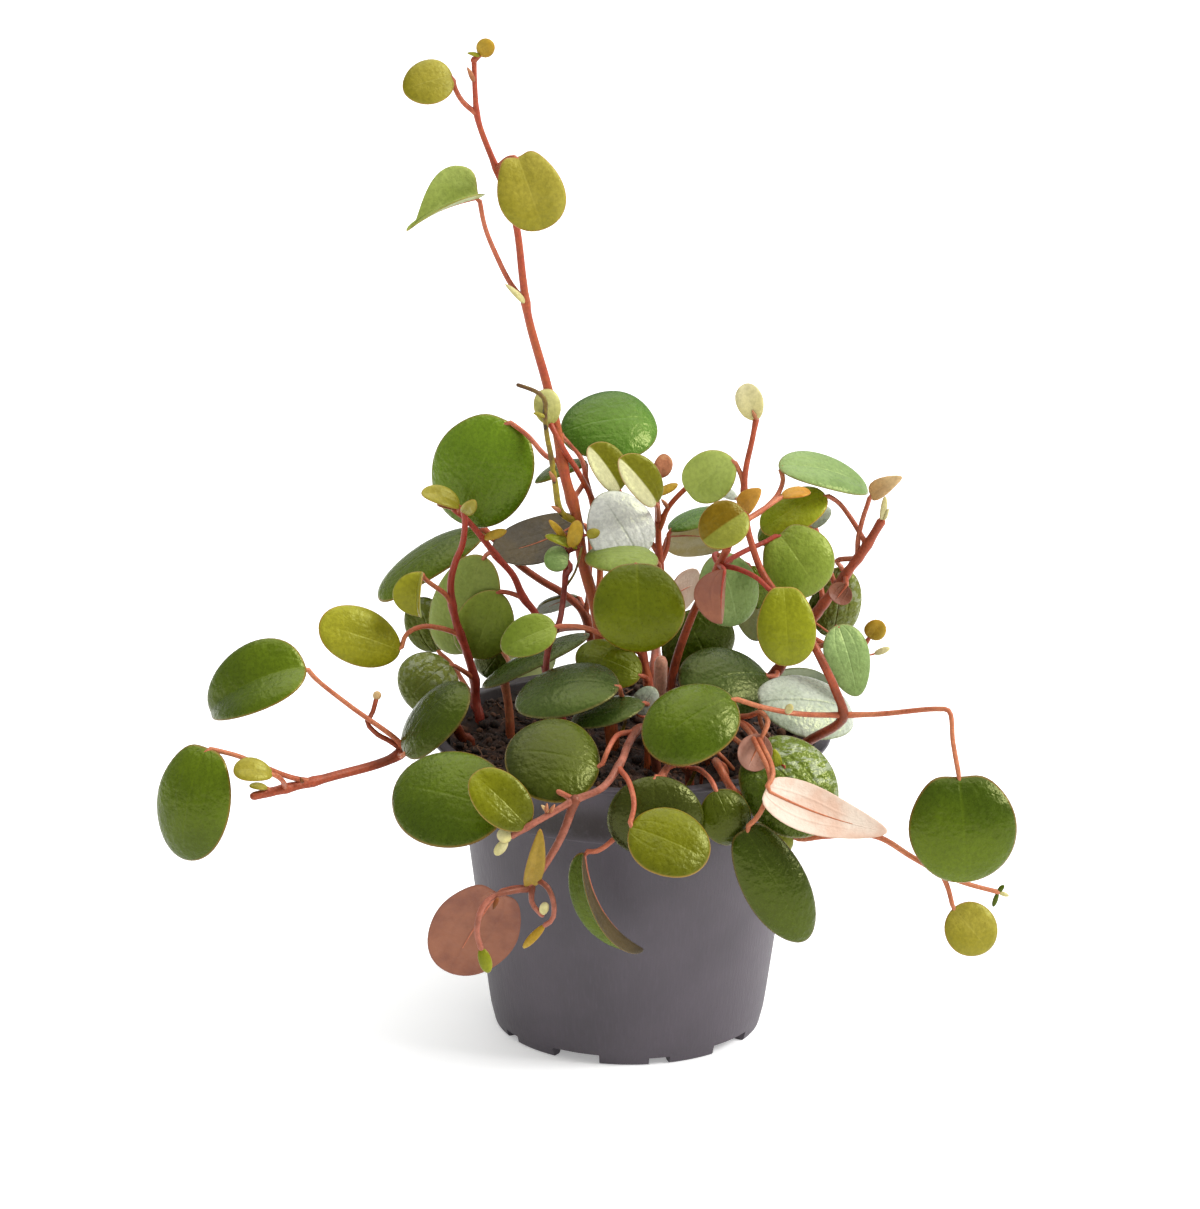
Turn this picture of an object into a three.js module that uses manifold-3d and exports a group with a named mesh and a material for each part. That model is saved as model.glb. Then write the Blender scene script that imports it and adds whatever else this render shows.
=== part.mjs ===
// A peperomia with round glossy leaves, growing in a 7 cm thermoformed nursery pot.
// Millimetres, +Z up. The origin is the middle of the pot's underside, on the table, and the
// viewer of the layout below looks along +Y from a little above.
import * as THREE from "three";
import { mergeVertices } from "three/addons/utils/BufferGeometryUtils.js";
import Module from "manifold-3d";

const wasm = await Module();
wasm.setup();

// ---------------------------------------------------------------- driving dimensions
const POT_HEIGHT = 53.7;
const LIP_RADIUS = 35;
const LIP_THICKNESS = 0.9;
const BAND_TOP_RADIUS = 33.6;
const BAND_LOW_RADIUS = 32;
const BAND_LOW_HEIGHT = 43.3;
const BODY_TOP_RADIUS = 29.4;
const BODY_TOP_HEIGHT = 42.6;
const BODY_LOW_RADIUS = 24.6;
const BODY_LOW_HEIGHT = 5.9;
const FOOT_RADIUS = 23.7;
const FOOT_WIDTH = 2.2;
const WALL = 0.9;
const SHOULDER_HEIGHT = BAND_LOW_HEIGHT + WALL;
const BASE_HEIGHT = 1.75;
const PAD_RADIUS = 6;
const PAD_SLOPE = 0.8;
const FOOT_SLOPE = 0.5;
const FOOT_EDGE = { width: 0.3, height: 1.2 };
const FOOT_FLARE = { width: 0.5, height: 3.2 };
const LIP_SLOPE = 0.1;
const POT_SIDES = 40;

// The foot ring is cut into five long and five short feet.
const FOOT_REPEATS = 5;
const WIDE_GAP = { middle: -22.5, width: 21, height: 1.75 };
const NARROW_GAP = { middle: 13.5, width: 9, height: 1.3 };
const DRAIN_SLOT = { length: 7, width: 3.4, depth: 4 * WALL, radius: 17.5 };
const CUT_MARGIN = 1;

// The inside of the wall from its foot to its top, as [height, radius].
const POT_INSIDE = [
  [BASE_HEIGHT + WALL, FOOT_RADIUS - WALL],
  [BODY_LOW_HEIGHT, BODY_LOW_RADIUS - WALL],
  [BODY_TOP_HEIGHT, BODY_TOP_RADIUS - WALL],
  [SHOULDER_HEIGHT, BAND_LOW_RADIUS - WALL],
  [POT_HEIGHT, BAND_TOP_RADIUS - WALL],
];

const SOIL_LEVEL = 51.6;
const SOIL_DISH = 2.2;
const SOIL_RISE = 1.3;
const SOIL_ROUGHNESS = 0.45;
const SOIL_WAVES = { across: 0.55, shift: 1.3, back: 0.48, slanting: 0.31, slantingShare: 0.6 };
const SOIL_RINGS = 2;
const SOIL_SIDES = 22;
const SOIL_RADIUS = 31.4;
const SEAT_GAP = 0.3;
const HOLE_CLEARANCE = 0.5;
const SOIL_BOTTOM = BASE_HEIGHT + WALL;
const SHOULDER_GAP = 0.32;
const ROOT_DEPTH = 6;
const ROOT_TOP = 1.4;
const HOLE_SIDES = 6;

const LEAF_THICKNESS = 1.1;
const STALK_RADIUS = 0.48;
const STALK_REACH = 0.8;
const STEM_SIDES = 5;
const STALK_SIDES = 3;
const STALK_SHARE = 0.16;
const STALK_FOOT = 1.2;
const STALK_TAPER = 0.55;
const STEM_STEP = 8;
const STALK_STEP = 8;
const BLADE_SIDES = [[4, 6], [9.5, 8], [Infinity, 10]];
const RINGED_LEAF = 12;
const MIDDLE_RING = 0.6;
const LOBE_PULL = 15;
const LOBE_NARROWNESS = 3.2;
const CREASE_ROUNDING = 0.3;
const LEAST_BOW = 0.01;
const MERGING_REACH = 1e-5;
const SMALLEST_EDGE = 0.08;
const LARGEST_SPECK = 0.05;
const PLACES_PER_RING = 10;

// ---------------------------------------------------------------- layout
// A place in the layout is [across, down, front]: across and down are pixels of a picture of
// 1200 x 1209 taken by this camera, and front is how many millimetres nearer the viewer the
// place lies than the pot's axis. A place of two numbers lies on a stem of the same plant.
const CAMERA = {
  distance: 700,
  elevation: THREE.MathUtils.degToRad(16.143),
  roll: THREE.MathUtils.degToRad(0.491),
  focalPixels: 4054,
  middleAcross: 600,
  middleDown: 604.5,
  target: new THREE.Vector3(-5.44, 0, 75.85),
};

// [stem, root in the soil as [right of the axis, in front of it] or null for a branch,
//  [radius at the root, radius at the tip], places along it]
const STEMS = [
  ["tall_stem", [-3, 0], [1.25, 0.42],
    [[607, 700, -1], [602, 655, -1], [596, 610, -1], [583, 562, -1], [576, 515, -1],
      [565, 476, -1], [556, 425, -1], [547, 385, -1], [528, 316, 0], [523, 280, 1],
      [515, 220, 1], [496, 168, 2], [481, 130, 3], [477, 115, 3], [475, 90, 3], [474, 60, 3]]],
  ["tall_stem", null, [0.65, 0.35],
    [[574, 522], [561, 512, 1], [555, 482, 2], [551, 456, 2], [547, 436, 2], [545, 417, 2],
      [545, 401, 2], [540, 394, 2], [530, 389, 2], [518, 385, 2]]],
  ["tall_stem", null, [0.6, 0.45],
    [[596, 608], [600, 575, -6], [597, 530, -7], [592, 500, -6], [578, 472, -2.5], [566, 453, 0.4],
      [557, 437, 0.9], [551, 425, 0.4]]],
  ["left_arm", [-28, 2], [0.95, 0.75],
    [[463, 738, 3], [452, 722, 5], [434, 719, 7], [415, 735, 8], [398, 755, 9], [330, 777, 16],
      [275, 791, 21], [254, 796, 23]]],
  ["left_arm", null, [0.5, 0.4],
    [[404, 750], [388, 740, 10], [377, 734, 11], [367, 722, 11], [372, 714, 10], [376, 700, 9]]],
  ["left_bow", [-26.5, -7.5], [0.9, 0.5],
    [[475, 703, -8.5], [475, 682, -8.5], [466, 650, -8], [457, 625, -7], [452, 603, -6],
      [451, 580, -5], [456, 560, -4.5], [462, 546, -4], [465, 520, -3], [463, 508, -3]]],
  ["left_inner", [-12, -10], [0.85, 0.5],
    [[548, 680, -12], [541, 640, -12], [535, 613, -12], [524, 599, -12], [513, 575, -11],
      [497, 557, -10], [481, 536, -9], [463, 516, -8], [454, 509, -7]]],
  ["back_left", [-7, -18], [0.85, 0.6],
    [[592, 660, -19], [585, 615, -20], [564, 594, -21], [542, 581, -22], [517, 563, -23],
      [497, 542, -24], [484, 530, -25]]],
  ["dark_sprig", [-15, 6], [0.7, 0.45],
    [[545, 690, 8], [549, 645, 8], [559, 623, 7], [563, 600, 4], [566, 570, 2], [567, 548, 1],
      [566, 535, 1]]],
  ["low_left", [-21, -4], [0.85, 0.7],
    [[509, 710, -4], [506, 690, -4], [503, 676, -4]]],
  ["mid_back", [6.1, -6], [0.85, 0.5],
    [[667, 680, -6], [667, 650, -6], [665, 605, -7], [659, 555, -8], [658, 515, -8],
      [656, 495, -7]]],
  ["mid_back", null, [0.5, 0.45],
    [[658, 530], [668, 508, -7.5], [684, 490, -7], [699, 478, -6]]],
  ["centre", [3.2, 8], [0.85, 0.6],
    [[650, 706, 8], [648, 682, 7.5], [643, 656, 7], [631, 610, 6], [617, 563, 4]]],
  ["hub", [6.5, 3], [0.9, 0.6],
    [[671, 688, 4], [676, 661, 5], [695, 609, 9], [711, 580, 13], [718, 567, 15],
      [727, 549, 17]]],
  ["front_left", [4.5, 12], [0.85, 0.5],
    [[648, 733, 18], [639, 728, 23], [628, 745, 30], [620, 764, 36], [602, 788, 40],
      [575, 800, 42], [545, 817, 44], [527, 827, 45], [512, 836, 45]]],
  ["front_left", null, [0.75, 0.55],
    [[577, 800], [562, 835, 43], [545, 865, 43], [529, 888, 43]]],
  ["front_left", null, [0.6, 0.45],
    [[530, 887], [503, 893, 46], [488, 900, 47], [480, 913, 48], [477, 933, 48], [481, 948, 48]]],
  ["front_left", null, [0.5, 0.4],
    [[531, 885], [532, 903, 44], [542, 915, 44]]],
  ["front_left", null, [0.5, 0.4],
    [[537, 876], [548, 888, 45], [554, 906, 45], [552, 920, 45], [545, 925, 45]]],
  ["right_arch", [23.5, 10], [0.95, 0.45],
    [[785, 754, 13], [812, 739, 20], [843, 717, 25], [835, 689, 26], [822, 661, 26],
      [812, 642, 25], [792, 612, 22], [775, 592, 20], [761, 570, 18], [752, 545, 17],
      [746, 522, 16], [744, 492, 15], [746, 468, 14], [752, 441, 13], [756, 420, 12]]],
  ["right_back", [18, -6], [0.95, 0.75],
    [[755, 693, -5], [780, 667, -4], [803, 632, -2], [824, 603, 0], [836, 588, 1],
      [849, 570, 2], [864, 550, 3], [881, 522, 4]]],
  ["low_right", [16, 17], [0.8, 0.4],
    [[718, 764, 23], [716, 762, 29], [721, 770, 32.8], [733, 790, 33], [753, 803, 31.8],
      [772, 814, 30.5], [787, 829, 30.5], [798, 838, 31], [824, 836, 31.5], [875, 836, 31],
      [912, 857, 31], [942, 874, 31], [968, 884, 31], [998, 892, 31]]],
  ["right_front", [13, 10], [0.9, 0.6],
    [[712, 740, 14], [722, 722, 17], [733, 716, 20]]],
  ["right_front", null, [0.45, 0.35],
    [[711, 745], [719, 754, 16.5], [727, 762, 15.5], [733, 769, 15]]],
  ["front_low", [10, 20], [0.8, 0.6],
    [[686, 768, 25], [676, 764, 30.5], [667, 768, 34.5], [661, 778, 36.5], [654, 788, 37]]],
  ["cut_stub", [5.3, -1], [1.25, 1.15],
    [[660, 700, -1], [661, 662, -1]]],
  ["back_a", [-5, -22], [0.9, 0.6],
    [[597, 672, -27], [591, 650, -35], [585, 655, -41], [579, 680, -45], [572, 725, -46],
      [566, 770, -45]]],
  ["back_b", [12.4, -21], [0.9, 0.6],
    [[710, 666, -25.5], [720, 650, -34], [728, 656, -40], [736, 690, -44], [742, 735, -45],
      [746, 780, -43]]],
  ["back_c", [4, -26], [0.85, 0.6],
    [[655, 655, -31], [656, 645, -37], [657, 652, -42], [659, 680, -48], [661, 730, -53]]],
];

// [leaf, stem, base, tip, width, way its upper face looks as [right, up, towards the viewer],
//  [dome, half fold, bend, skew, lobe], places along its stalk from the stem]. Dome and width
//  are millimetres, half fold and bend are degrees, and a lobe of 0.1 is a deep notch where
//  the stalk meets the blade.
const LEAVES = [
  ["tall_1", "tall_stem", [453, 76, 2], [403, 91, 4], 8, [0.05, 0.25, 0.97],
    [0.5, 8, 10, 0.12, 0], [[476, 116], [463, 102, 3], [455, 88, 2.4]]],
  ["tall_2", "tall_stem", [480, 56, 3], [491, 40, 4], 3.2, [0.1, 0, 1],
    [0.3, 0, 10, 0, 0], [[474, 62]]],
  ["tall_3", "tall_stem", [479, 197, 2], [405, 231, 4], 9.4, [-0.1, 0.72, 0.69],
    [0.3, 44, 30, 1.25, 0.05], [[525, 305], [511, 284, 0], [498, 259, 1], [485, 227, 2]]],
  ["tall_4", "tall_stem", [518, 157, 6], [543, 230, 8], 11.6, [0.05, 0.1, 1],
    [0.5, 12, 10, -0.05, 0.05], [[497, 168], [509, 158, 5]]],
  ["tall_5", "tall_stem", [549, 424, 0], [543, 389, 0], 4.8, [0.2, 0.1, 1],
    [0.4, 10, 15, -0.1, 0], []],
  ["tall_6", "tall_stem", [560, 434, -11.4], [657, 421, -15.6], 14.6,
    [-0.1, 0.5, 0.85], [1.2, 0, 18, -0.1, 0], [[593, 502], [586, 478, -6], [582, 460, -8],
      [572, 446, -9.6]]],
  ["tall_7", "tall_stem", [507, 420, -12], [458, 523, -12], 18,
    [-0.1, 0.15, 1], [1.6, 0, 14, 0, 0.015], [[560, 463], [546, 456, -6], [527, 435, -10]]],
  ["tall_8", "tall_stem", [586, 463, -14], [535, 480, -16], 9, [0, 0.93, 0.35],
    [0.6, 0, 15, 0, 0], [[572, 500], [585, 480, -8]]],
  ["left_1", "left_arm", [306, 667, 17], [210, 712, 15], 14.8, [-0.1, 0.5, 0.85],
    [1.2, 25, 34, 0.2, 0], [[405, 749], [398, 741, 10], [350, 706, 13], [315, 678, 16]]],
  ["left_2", "left_arm", [206, 748, 25], [184, 861, 27], 13.6,
    [-0.3, 0.1, 0.95], [1.6, 0, 22, 0.08, 0.02], [[315, 781], [290, 777, 20], [262, 766, 23],
      [238, 756, 24]]],
  ["left_3", "left_arm", [273, 774, 27], [233, 771, 29], 4.8, [0, 0.5, 0.85],
    [0.5, 20, 25, -0.2, 0], [[288, 785], [281, 779, 25]]],
  ["left_4", "left_arm", [268, 788, 22], [249, 786, 23], 2, [0, 0.8, 0.6],
    [0.2, 10, 10, 0, 0], [[272, 791]]],
  ["left_5", "left_arm", [404, 755, 14], [467, 684, 12], 12.2,
    [-0.58, 0.5, 0.65], [1.8, 0, 12, 0, 0], [[398, 754], [401, 756, 12]]],
  ["left_6", "left_arm", [376, 701, 9], [378, 691, 9], 1.5, [0, 0, 1],
    [0.2, 0, 5, 0, 0], []],
  ["bow_1", "left_bow", [401, 651, -2], [319, 624, 3], 10.2, [0.05, 0.2, 1],
    [0.9, 6, 12, -0.12, 0], [[458, 636], [440, 628, -6], [420, 627, -3.5], [406, 635, -2.5]]],
  ["bow_2", "left_bow", [422, 572, -1], [420, 617, 0], 10, [-0.7, 0.1, 0.7],
    [0.5, 45, 12, 0, 0], [[453, 605], [446, 595, -5], [424, 578, -2]]],
  ["bow_3", "left_bow", [463, 516, -2], [475, 500, 1.5], 2.8, [0.3, 0.3, 0.9],
    [0.2, 25, 10, 0, 0], []],
  ["inner_1", "left_inner", [460, 506, -5.6], [421, 493, -3.6], 4.7,
    [-0.1, 0.6, 0.8], [0.4, 25, 20, 0, 0], [[457, 511]]],
  ["inner_2", "left_inner", [455, 511, -6], [437, 505, -5], 2.4, [0, 0.7, 0.7],
    [0.2, 20, 20, 0, 0], []],
  ["inner_3", "left_inner", [488, 536, -8], [507, 531, -7], 1.9, [0, 0.4, 0.9],
    [0.2, 0, 10, 0, 0], []],
  ["inner_4", "left_inner", [497, 591, -12], [472, 659, -11], 10.4, [0.1, 0.1, 1],
    [0.9, 6, 8, -0.05, 0], [[522, 598], [510, 593, -12]]],
  ["inner_5", "left_inner", [484, 556, -14], [447, 654, -16], 12, [-0.1, 0.15, 1],
    [0.9, 0, 8, -0.05, 0], [[497, 557], [492, 552, -12]]],
  ["back_1", "back_left", [486, 527, -25], [378, 597, -22], 12.5, [-0.35, 0.75, 0.5],
    [1.2, 0, 18, -0.05, 0], []],
  ["back_2", "back_left", [583, 522, -21], [493, 555, -18], 13,
    [0.15, -0.75, -0.62], [1, 0, 10, 0, 0], [[585, 615], [590, 570, -21], [589, 535, -22]]],
  ["back_3", "back_left", [579, 596, -25], [538, 612, -26], 12,
    [-0.1, 0.97, -0.12], [0.6, 0, 10, 0, 0], [[587, 625], [584, 608, -22]]],
  ["sprig_1", "dark_sprig", [578, 548, 2], [545, 536, 4], 2.2, [0, 0.6, 0.8],
    [0.2, 15, 10, 0, 0], [[566, 553]]],
  ["sprig_2", "dark_sprig", [563, 541, 3], [549, 520, 4], 1.4, [0.1, 0.1, 1],
    [0.2, 20, 20, 0, 0], []],
  ["sprig_3", "dark_sprig", [571, 548, 3.4], [578, 520, 3], 3, [0.2, 0, 1],
    [0.4, 25, 10, 0, 0], [[566, 553]]],
  ["sprig_4", "dark_sprig", [586, 535, 3.5], [600, 532, 4], 1.9, [0, 0.3, 1],
    [0.2, 0, 10, 0, 0], [[567, 545], [577, 538, 3]]],
  ["sprig_5", "dark_sprig", [569, 561, 3], [544, 557, 3], 4.8, [0, 0.35, 0.93],
    [0.4, 0, 10, 0, 0], [[566, 578], [571, 568, 3]]],
  ["low_1", "low_left", [590, 634, -2], [482, 686, -1], 10.6, [-0.12, 0.94, 0.3],
    [0.8, 0, 8, 0, 0], [[503, 676], [515, 672, -3]]],
  ["low_2", "low_left", [502, 650, -17], [482, 676, -19], 7, [0.1, 0.2, 1],
    [0.5, 0, 8, 0, 0], [[505, 684], [510, 665, -12]]],
  ["low_3", "left_bow", [438, 652, -19], [417, 598, -20], 8, [-0.1, 0.2, 1],
    [0.8, 0, 8, 0, 0], [[473, 700], [462, 680, -14], [450, 662, -18]]],
  ["low_4", "left_bow", [451, 664, -6], [406, 704, -4], 12.6, [-0.2, 0.3, 0.93],
    [1.2, 0, 14, 0, 0], [[474, 682], [465, 672, -7]]],
  ["mid_1", "mid_back", [620, 490, -6], [589, 446, -5.6], 8.1,
    [0.38, 0.28, 0.88], [0.4, 28, 8, 0, 0], [[660, 556], [642, 530, -9.4], [622, 506, -9]]],
  ["mid_2", "mid_back", [657, 504, 1], [619, 458, 2], 8.1, [0.35, 0.3, 0.88],
    [0.4, 28, 8, 0, 0], [[659, 522], [658, 512, -4]]],
  ["mid_3", "mid_back", [659, 478, -10], [666, 454, -11], 3.6, [0.2, 0, 1],
    [0.3, 20, 10, 0, 0], [[656, 500]]],
  ["mid_4", "mid_back", [669, 530, -10.5], [731, 508, -16.5], 8.6, [-0.1, 0.93, 0.35],
    [0.5, 0, 12, 0, 0], [[658, 566], [667, 548, -9.4]]],
  ["mid_5", "mid_back", [668, 535, -13], [731, 541, -18.5], 12, [0.1, 0.75, -0.65],
    [0.6, 0, 10, 0, 0], [[658, 566], [663, 552, -10.5]]],
  ["mid_6", "mid_back", [668, 600, -14], [700, 582, -20], 9, [-0.1, 0.55, -0.8],
    [0.6, 0, 10, 0, 0], [[652, 625], [660, 612, -10]]],
  ["mid_7", "mid_back", [660, 492, -8], [678, 484, -8], 1.8, [0, 0.5, 0.8],
    [0.1, 0, 10, 0, 0], []],
  ["centre_1", "centre", [637, 563, 11], [640, 653, 16], 15.6, [0, 0.12, 1],
    [1.2, 5, 10, 0, 0.01], [[620, 575], [629, 575, 7]]],
  ["centre_2", "centre", [659, 561, 3], [585, 557, 3], 11, [-0.05, 0.88, 0.48],
    [1, 0, 10, 0, 0], [[633, 615], [648, 600, 3], [659, 580, 2]]],
  ["centre_3", "centre", [640, 560, 0.4], [599, 494, -1.1], 12,
    [0.1, 0.35, 0.93], [0.6, 0, 8, 0.15, 0], [[622, 580], [638, 572, 2.4]]],
  ["centre_4", "centre", [556, 626, 13], [502, 650, 14], 7.8, [-0.1, 0.35, 0.93],
    [0.5, 18, 10, 0.1, 0], [[642, 652], [610, 638, 10], [582, 627, 12]]],
  ["centre_5", "centre", [641, 676, 11], [576, 652, 8], 9, [0.25, 0.35, 0.9],
    [0.9, 0, 10, 0, 0], [[648, 682], [645, 677, 9.5]]],
  ["centre_6", "centre", [619, 686, 20], [515, 698, 15], 14.5, [0.02, 0.78, 0.62],
    [1.2, 0, 14, 0, 0], [[649, 704], [638, 709, 9], [624, 699, 13]]],
  ["centre_7", "centre", [644, 703, 17], [571, 722, 18], 9.4, [0.15, 0.88, 0.42],
    [0.7, 0, 10, 0, 0], [[649, 702], [648, 704, 12]]],
  ["centre_8", "mid_back", [684, 612, -7], [712, 672, -7], 13.5, [0.1, 0.15, 1],
    [0.8, 0, 8, 0, 0], [[667, 645], [673, 620, -7]]],
  ["centre_9", "centre", [636, 713, 12], [655, 688, 12], 4.4, [0.1, 0.1, 1],
    [0.3, 10, 10, 0, 0], [[650, 708], [644, 716, 10]]],
  ["hub_1", "hub", [746, 511, 21], [702, 541, 23], 8.4, [-0.15, 0.1, 1],
    [0.5, 20, 8, 0, 0], [[727, 549], [742, 528, 19]]],
  ["hub_2", "hub", [724, 569, 21], [721, 624, 22], 9.6, [-0.7, 0.1, -0.7],
    [0.5, 40, 10, 0.1, 0], [[718, 567]]],
  ["hub_3", "hub", [718, 553, 10], [738, 626, 9], 10.5, [0.15, 0.15, 1],
    [0.9, 0, 10, -0.05, 0], [[718, 567], [714, 556, 13]]],
  ["hub_4", "hub", [779, 534, 10], [818, 592, 13], 12.6, [0.1, 0.1, 1],
    [0.9, 5, 14, -0.05, 0.04], [[718, 567], [745, 551, 13], [767, 541, 11]]],
  ["front_1", "front_left", [601, 768, 34], [505, 753, 33], 16.5,
    [-0.1, 0.6, 0.8], [1.2, 0, 10, 0, 0], [[636, 731], [618, 735, 29], [608, 750, 33]]],
  ["front_2", "front_left", [527, 822, 46], [473, 774, 43], 9, [0.1, 0.3, 0.95],
    [0.6, 14, 10, 0, 0], []],
  ["front_3", "front_left", [629, 827, 47], [708, 861, 50], 11.9, [0.1, 0.4, 0.9],
    [0.8, 6, 12, 0, 0], [[618, 767], [629, 782, 41], [634, 806, 45]]],
  ["front_4", "front_left", [511, 836, 45], [497, 835, 46], 2.6, [0, 0.2, 1],
    [0.3, 0, 15, 0, 0], []],
  ["front_5", "front_left", [507, 840, 45], [495, 855, 45], 1.8, [0, 0, 1],
    [0.2, 0, 10, 0, 0], [[512, 836]]],
  ["front_6", "front_left", [508, 813, 34], [393, 786, 26], 17.6,
    [-0.15, 0.45, 0.88], [1.3, 0, 12, 0, 0], [[575, 800], [550, 790, 38], [525, 798, 36]]],
  ["front_7", "front_left", [529, 887, 44], [540, 829, 46], 3.7, [0.3, 0.05, 0.95],
    [0.3, 30, 14, 0.35, 0], []],
  ["front_8", "front_left", [498, 892, 42], [449, 972, 40], 14.6, [-0.2, 0.1, -0.97],
    [1, 0, 10, 0, 0.04], [[531, 887], [515, 888, 43]]],
  ["front_9", "front_left", [481, 947, 48], [489, 973, 48], 2.2, [0, 0, 1],
    [0.2, 0, 10, 0, 0], []],
  ["front_10", "front_left", [542, 915, 44], [546, 902, 45], 1.6, [0, 0, 1],
    [0.2, 0, 10, 0, 0], []],
  ["front_11", "front_left", [545, 925, 45], [523, 948, 44], 1.5, [0, 0.2, 1],
    [0.2, 0, 20, 0, 0], []],
  ["arch_1", "right_arch", [757, 416, 12], [744, 384, 12], 4.8, [-0.1, 0, 1],
    [0.4, 15, 8, -0.1, 0], []],
  ["arch_2", "right_arch", [757, 417, 12], [762, 400, 12], 1.4, [0.8, 0, 0.6],
    [0.1, 0, 5, 0, 0], []],
  ["arch_3", "right_arch", [733, 459, 13], [688, 494, 11], 9, [0, 0.15, 1],
    [0.5, 16, 10, 0, 0], [[744, 491], [742, 478, 14], [738, 468, 13.5]]],
  ["arch_4", "right_arch", [741, 511, 17.7], [761, 489, 18.4], 4.2,
    [-0.3, 0.4, 0.85], [0.2, 20, 10, 0.4, 0], [[746, 514]]],
  ["arch_5", "hub", [784, 587, 24], [788, 667, 27], 10, [0.05, 0.05, 1],
    [0.7, 10, 10, -0.05, 0.02], [[718, 567], [738, 569, 18.5], [757, 578, 21.5],
      [774, 592, 23.4]]],
  ["arch_6", "right_arch", [959, 776, 33], [966, 883, 35], 18, [0, 0.12, 1],
    [1.8, 3, 14, 0, 0.03], [[843, 717], [880, 714, 26], [938, 709, 29.5], [949, 711, 30.5],
      [953, 742, 32]]],
  ["arch_7", "right_arch", [733, 698, 29], [648, 752, 35], 14.5,
    [-0.1, 0.45, 0.88], [1.5, 0, 16, 0.02, 0], [[843, 717], [800, 714, 27], [762, 707, 29]]],
  ["arch_8", "right_arch", [781, 497, 10], [811, 492, 9], 3.2, [-0.05, 0.75, 0.65],
    [0.3, 20, 10, 0, 0], [[746, 522], [765, 508, 13]]],
  ["arch_9", "right_arch", [779, 466, 3], [868, 489, -2], 10.2, [-0.1, 0.74, 0.67],
    [0.6, 10, 16, 0.05, 0], [[746, 522], [764, 509, 8], [778, 494, 5], [783, 479, 3.4]]],
  ["arch_10", "right_arch", [761, 703, 15], [854, 713, 8], 13.6, [0.05, 0.6, 0.8],
    [1.2, 0, 12, 0, 0.02], [[785, 757], [770, 740, 14], [760, 718, 15]]],
  ["arch_11", "right_arch", [787, 714, 29], [791, 704, 30], 1.4, [0, 0, 1],
    [0.1, 0, 5, 0, 0], [[843, 717], [800, 714, 27], [792, 713, 28]]],
  ["arch_12", "right_arch", [737, 499, 9], [715, 486, 7], 2.2, [0, 0.5, 0.85],
    [0.2, 0, 5, 0, 0], [[744, 496]]],
  ["wing_1", "right_back", [870, 496, 6], [902, 477, 8], 3.8, [-0.25, 0.2, 0.95],
    [0.2, 32, 12, 0.4, 0], [[857, 560], [858, 540, 2], [863, 518, 3], [868, 503, 5]]],
  ["wing_2", "right_back", [826, 495, 2], [762, 531, 4], 8.6, [-0.05, 0.55, 0.83],
    [0.6, 8, 12, 0, 0], [[858, 540, 2], [852, 520, 1], [840, 504, 0], [832, 498, 1]]],
  ["wing_3", "right_back", [842, 568, -6], [831, 638, -8], 9, [0.15, 0.2, 0.97],
    [0.9, 0, 10, 0, 0], [[860, 563], [838, 560, -1]]],
  ["wing_4", "right_back", [838, 625, 8], [857, 697, 10], 8, [0.2, 0.1, 0.95],
    [0.7, 8, 12, 0.25, 0], [[803, 632], [818, 646, 1], [829, 641, 4]]],
  ["wing_5", "right_back", [847, 585, 5], [834, 602, 6], 4.4, [-0.1, -0.2, -0.95],
    [0.5, 0, 40, 0, 0], [[846, 574]]],
  ["wing_6", "right_back", [812, 520, -8], [757, 535, -12], 8, [-0.05, 0.6, 0.8],
    [0.5, 0, 8, 0, 0], [[824, 603], [818, 560, -5], [818, 535, -7]]],
  ["wing_7", "right_back", [811, 527, -3], [827, 506, -5], 5, [-0.5, 0.6, 0.6],
    [0.3, 0, 8, 0, 0], [[836, 588], [822, 550, -3]]],
  ["wing_8", "right_back", [869, 638, 3], [882, 621, 4], 4, [0.1, 0.1, 1],
    [0.2, 18, 10, 0, 0], [[803, 632], [840, 650, -1], [863, 646, 2]]],
  ["wing_9", "right_back", [874, 654, 2], [890, 648, 2], 1.2, [0, 0.4, 1],
    [0.1, 0, 10, 0, 0], [[855, 650, 1], [865, 655, 2]]],
  ["wing_10", "right_back", [882, 521, 4], [885, 496, 5], 1.2, [0.2, 0, 1],
    [0.1, 0, 40, 0, 0], []],
  ["wing_11", "right_back", [768, 676, 0], [682, 690, 8], 15, [0.1, 0.55, 0.83],
    [1.4, 0, 12, 0, 0], [[782, 675], [776, 676, -1]]],
  ["wing_12", "right_back", [821, 590, -2], [813, 622, -3], 3.4, [0.3, 0, 1],
    [0.2, 0, 5, 0, 0], [[824, 603]]],
  ["low_right_1", "low_right", [953, 908, 32], [989, 951, 33], 9,
    [0.05, 0.15, 1], [0.5, 5, 8, 0.05, 0], [[940, 874], [948, 888, 31]]],
  ["low_right_2", "low_right", [998, 892, 31], [1004, 885, 31], 0.9, [0, 0, 1],
    [0.1, 0, 5, 0, 0], []],
  ["low_right_3", "low_right", [999, 893, 31], [1009, 896, 31], 0.8, [0, 0, 1],
    [0.1, 0, 5, 0, 0], []],
  ["low_right_4", "low_right", [996, 894, 31], [993, 907, 31], 0.9, [0, 0, 1],
    [0.1, 0, 5, 0, 0], []],
  ["low_right_5", "right_front", [745, 829, 39.5], [805, 941, 40], 11,
    [0.05, 0.15, 1], [1.2, 0, 14, 0.05, 0.02], [[731, 716], [746, 728, 25.5], [758, 748, 33],
      [770, 777, 37.8], [767, 797, 38.4], [758, 816, 39.6]]],
  ["low_right_6", "low_right", [773, 829, 32.8], [787, 854, 31.8], 4.6,
    [0, 0.2, 1], [0.4, 0, 8, 0, 0], [[787, 833], [780, 827, 32.2]]],
  ["right_1", "right_front", [765, 790, 40], [887, 832, 45], 8.2,
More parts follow.
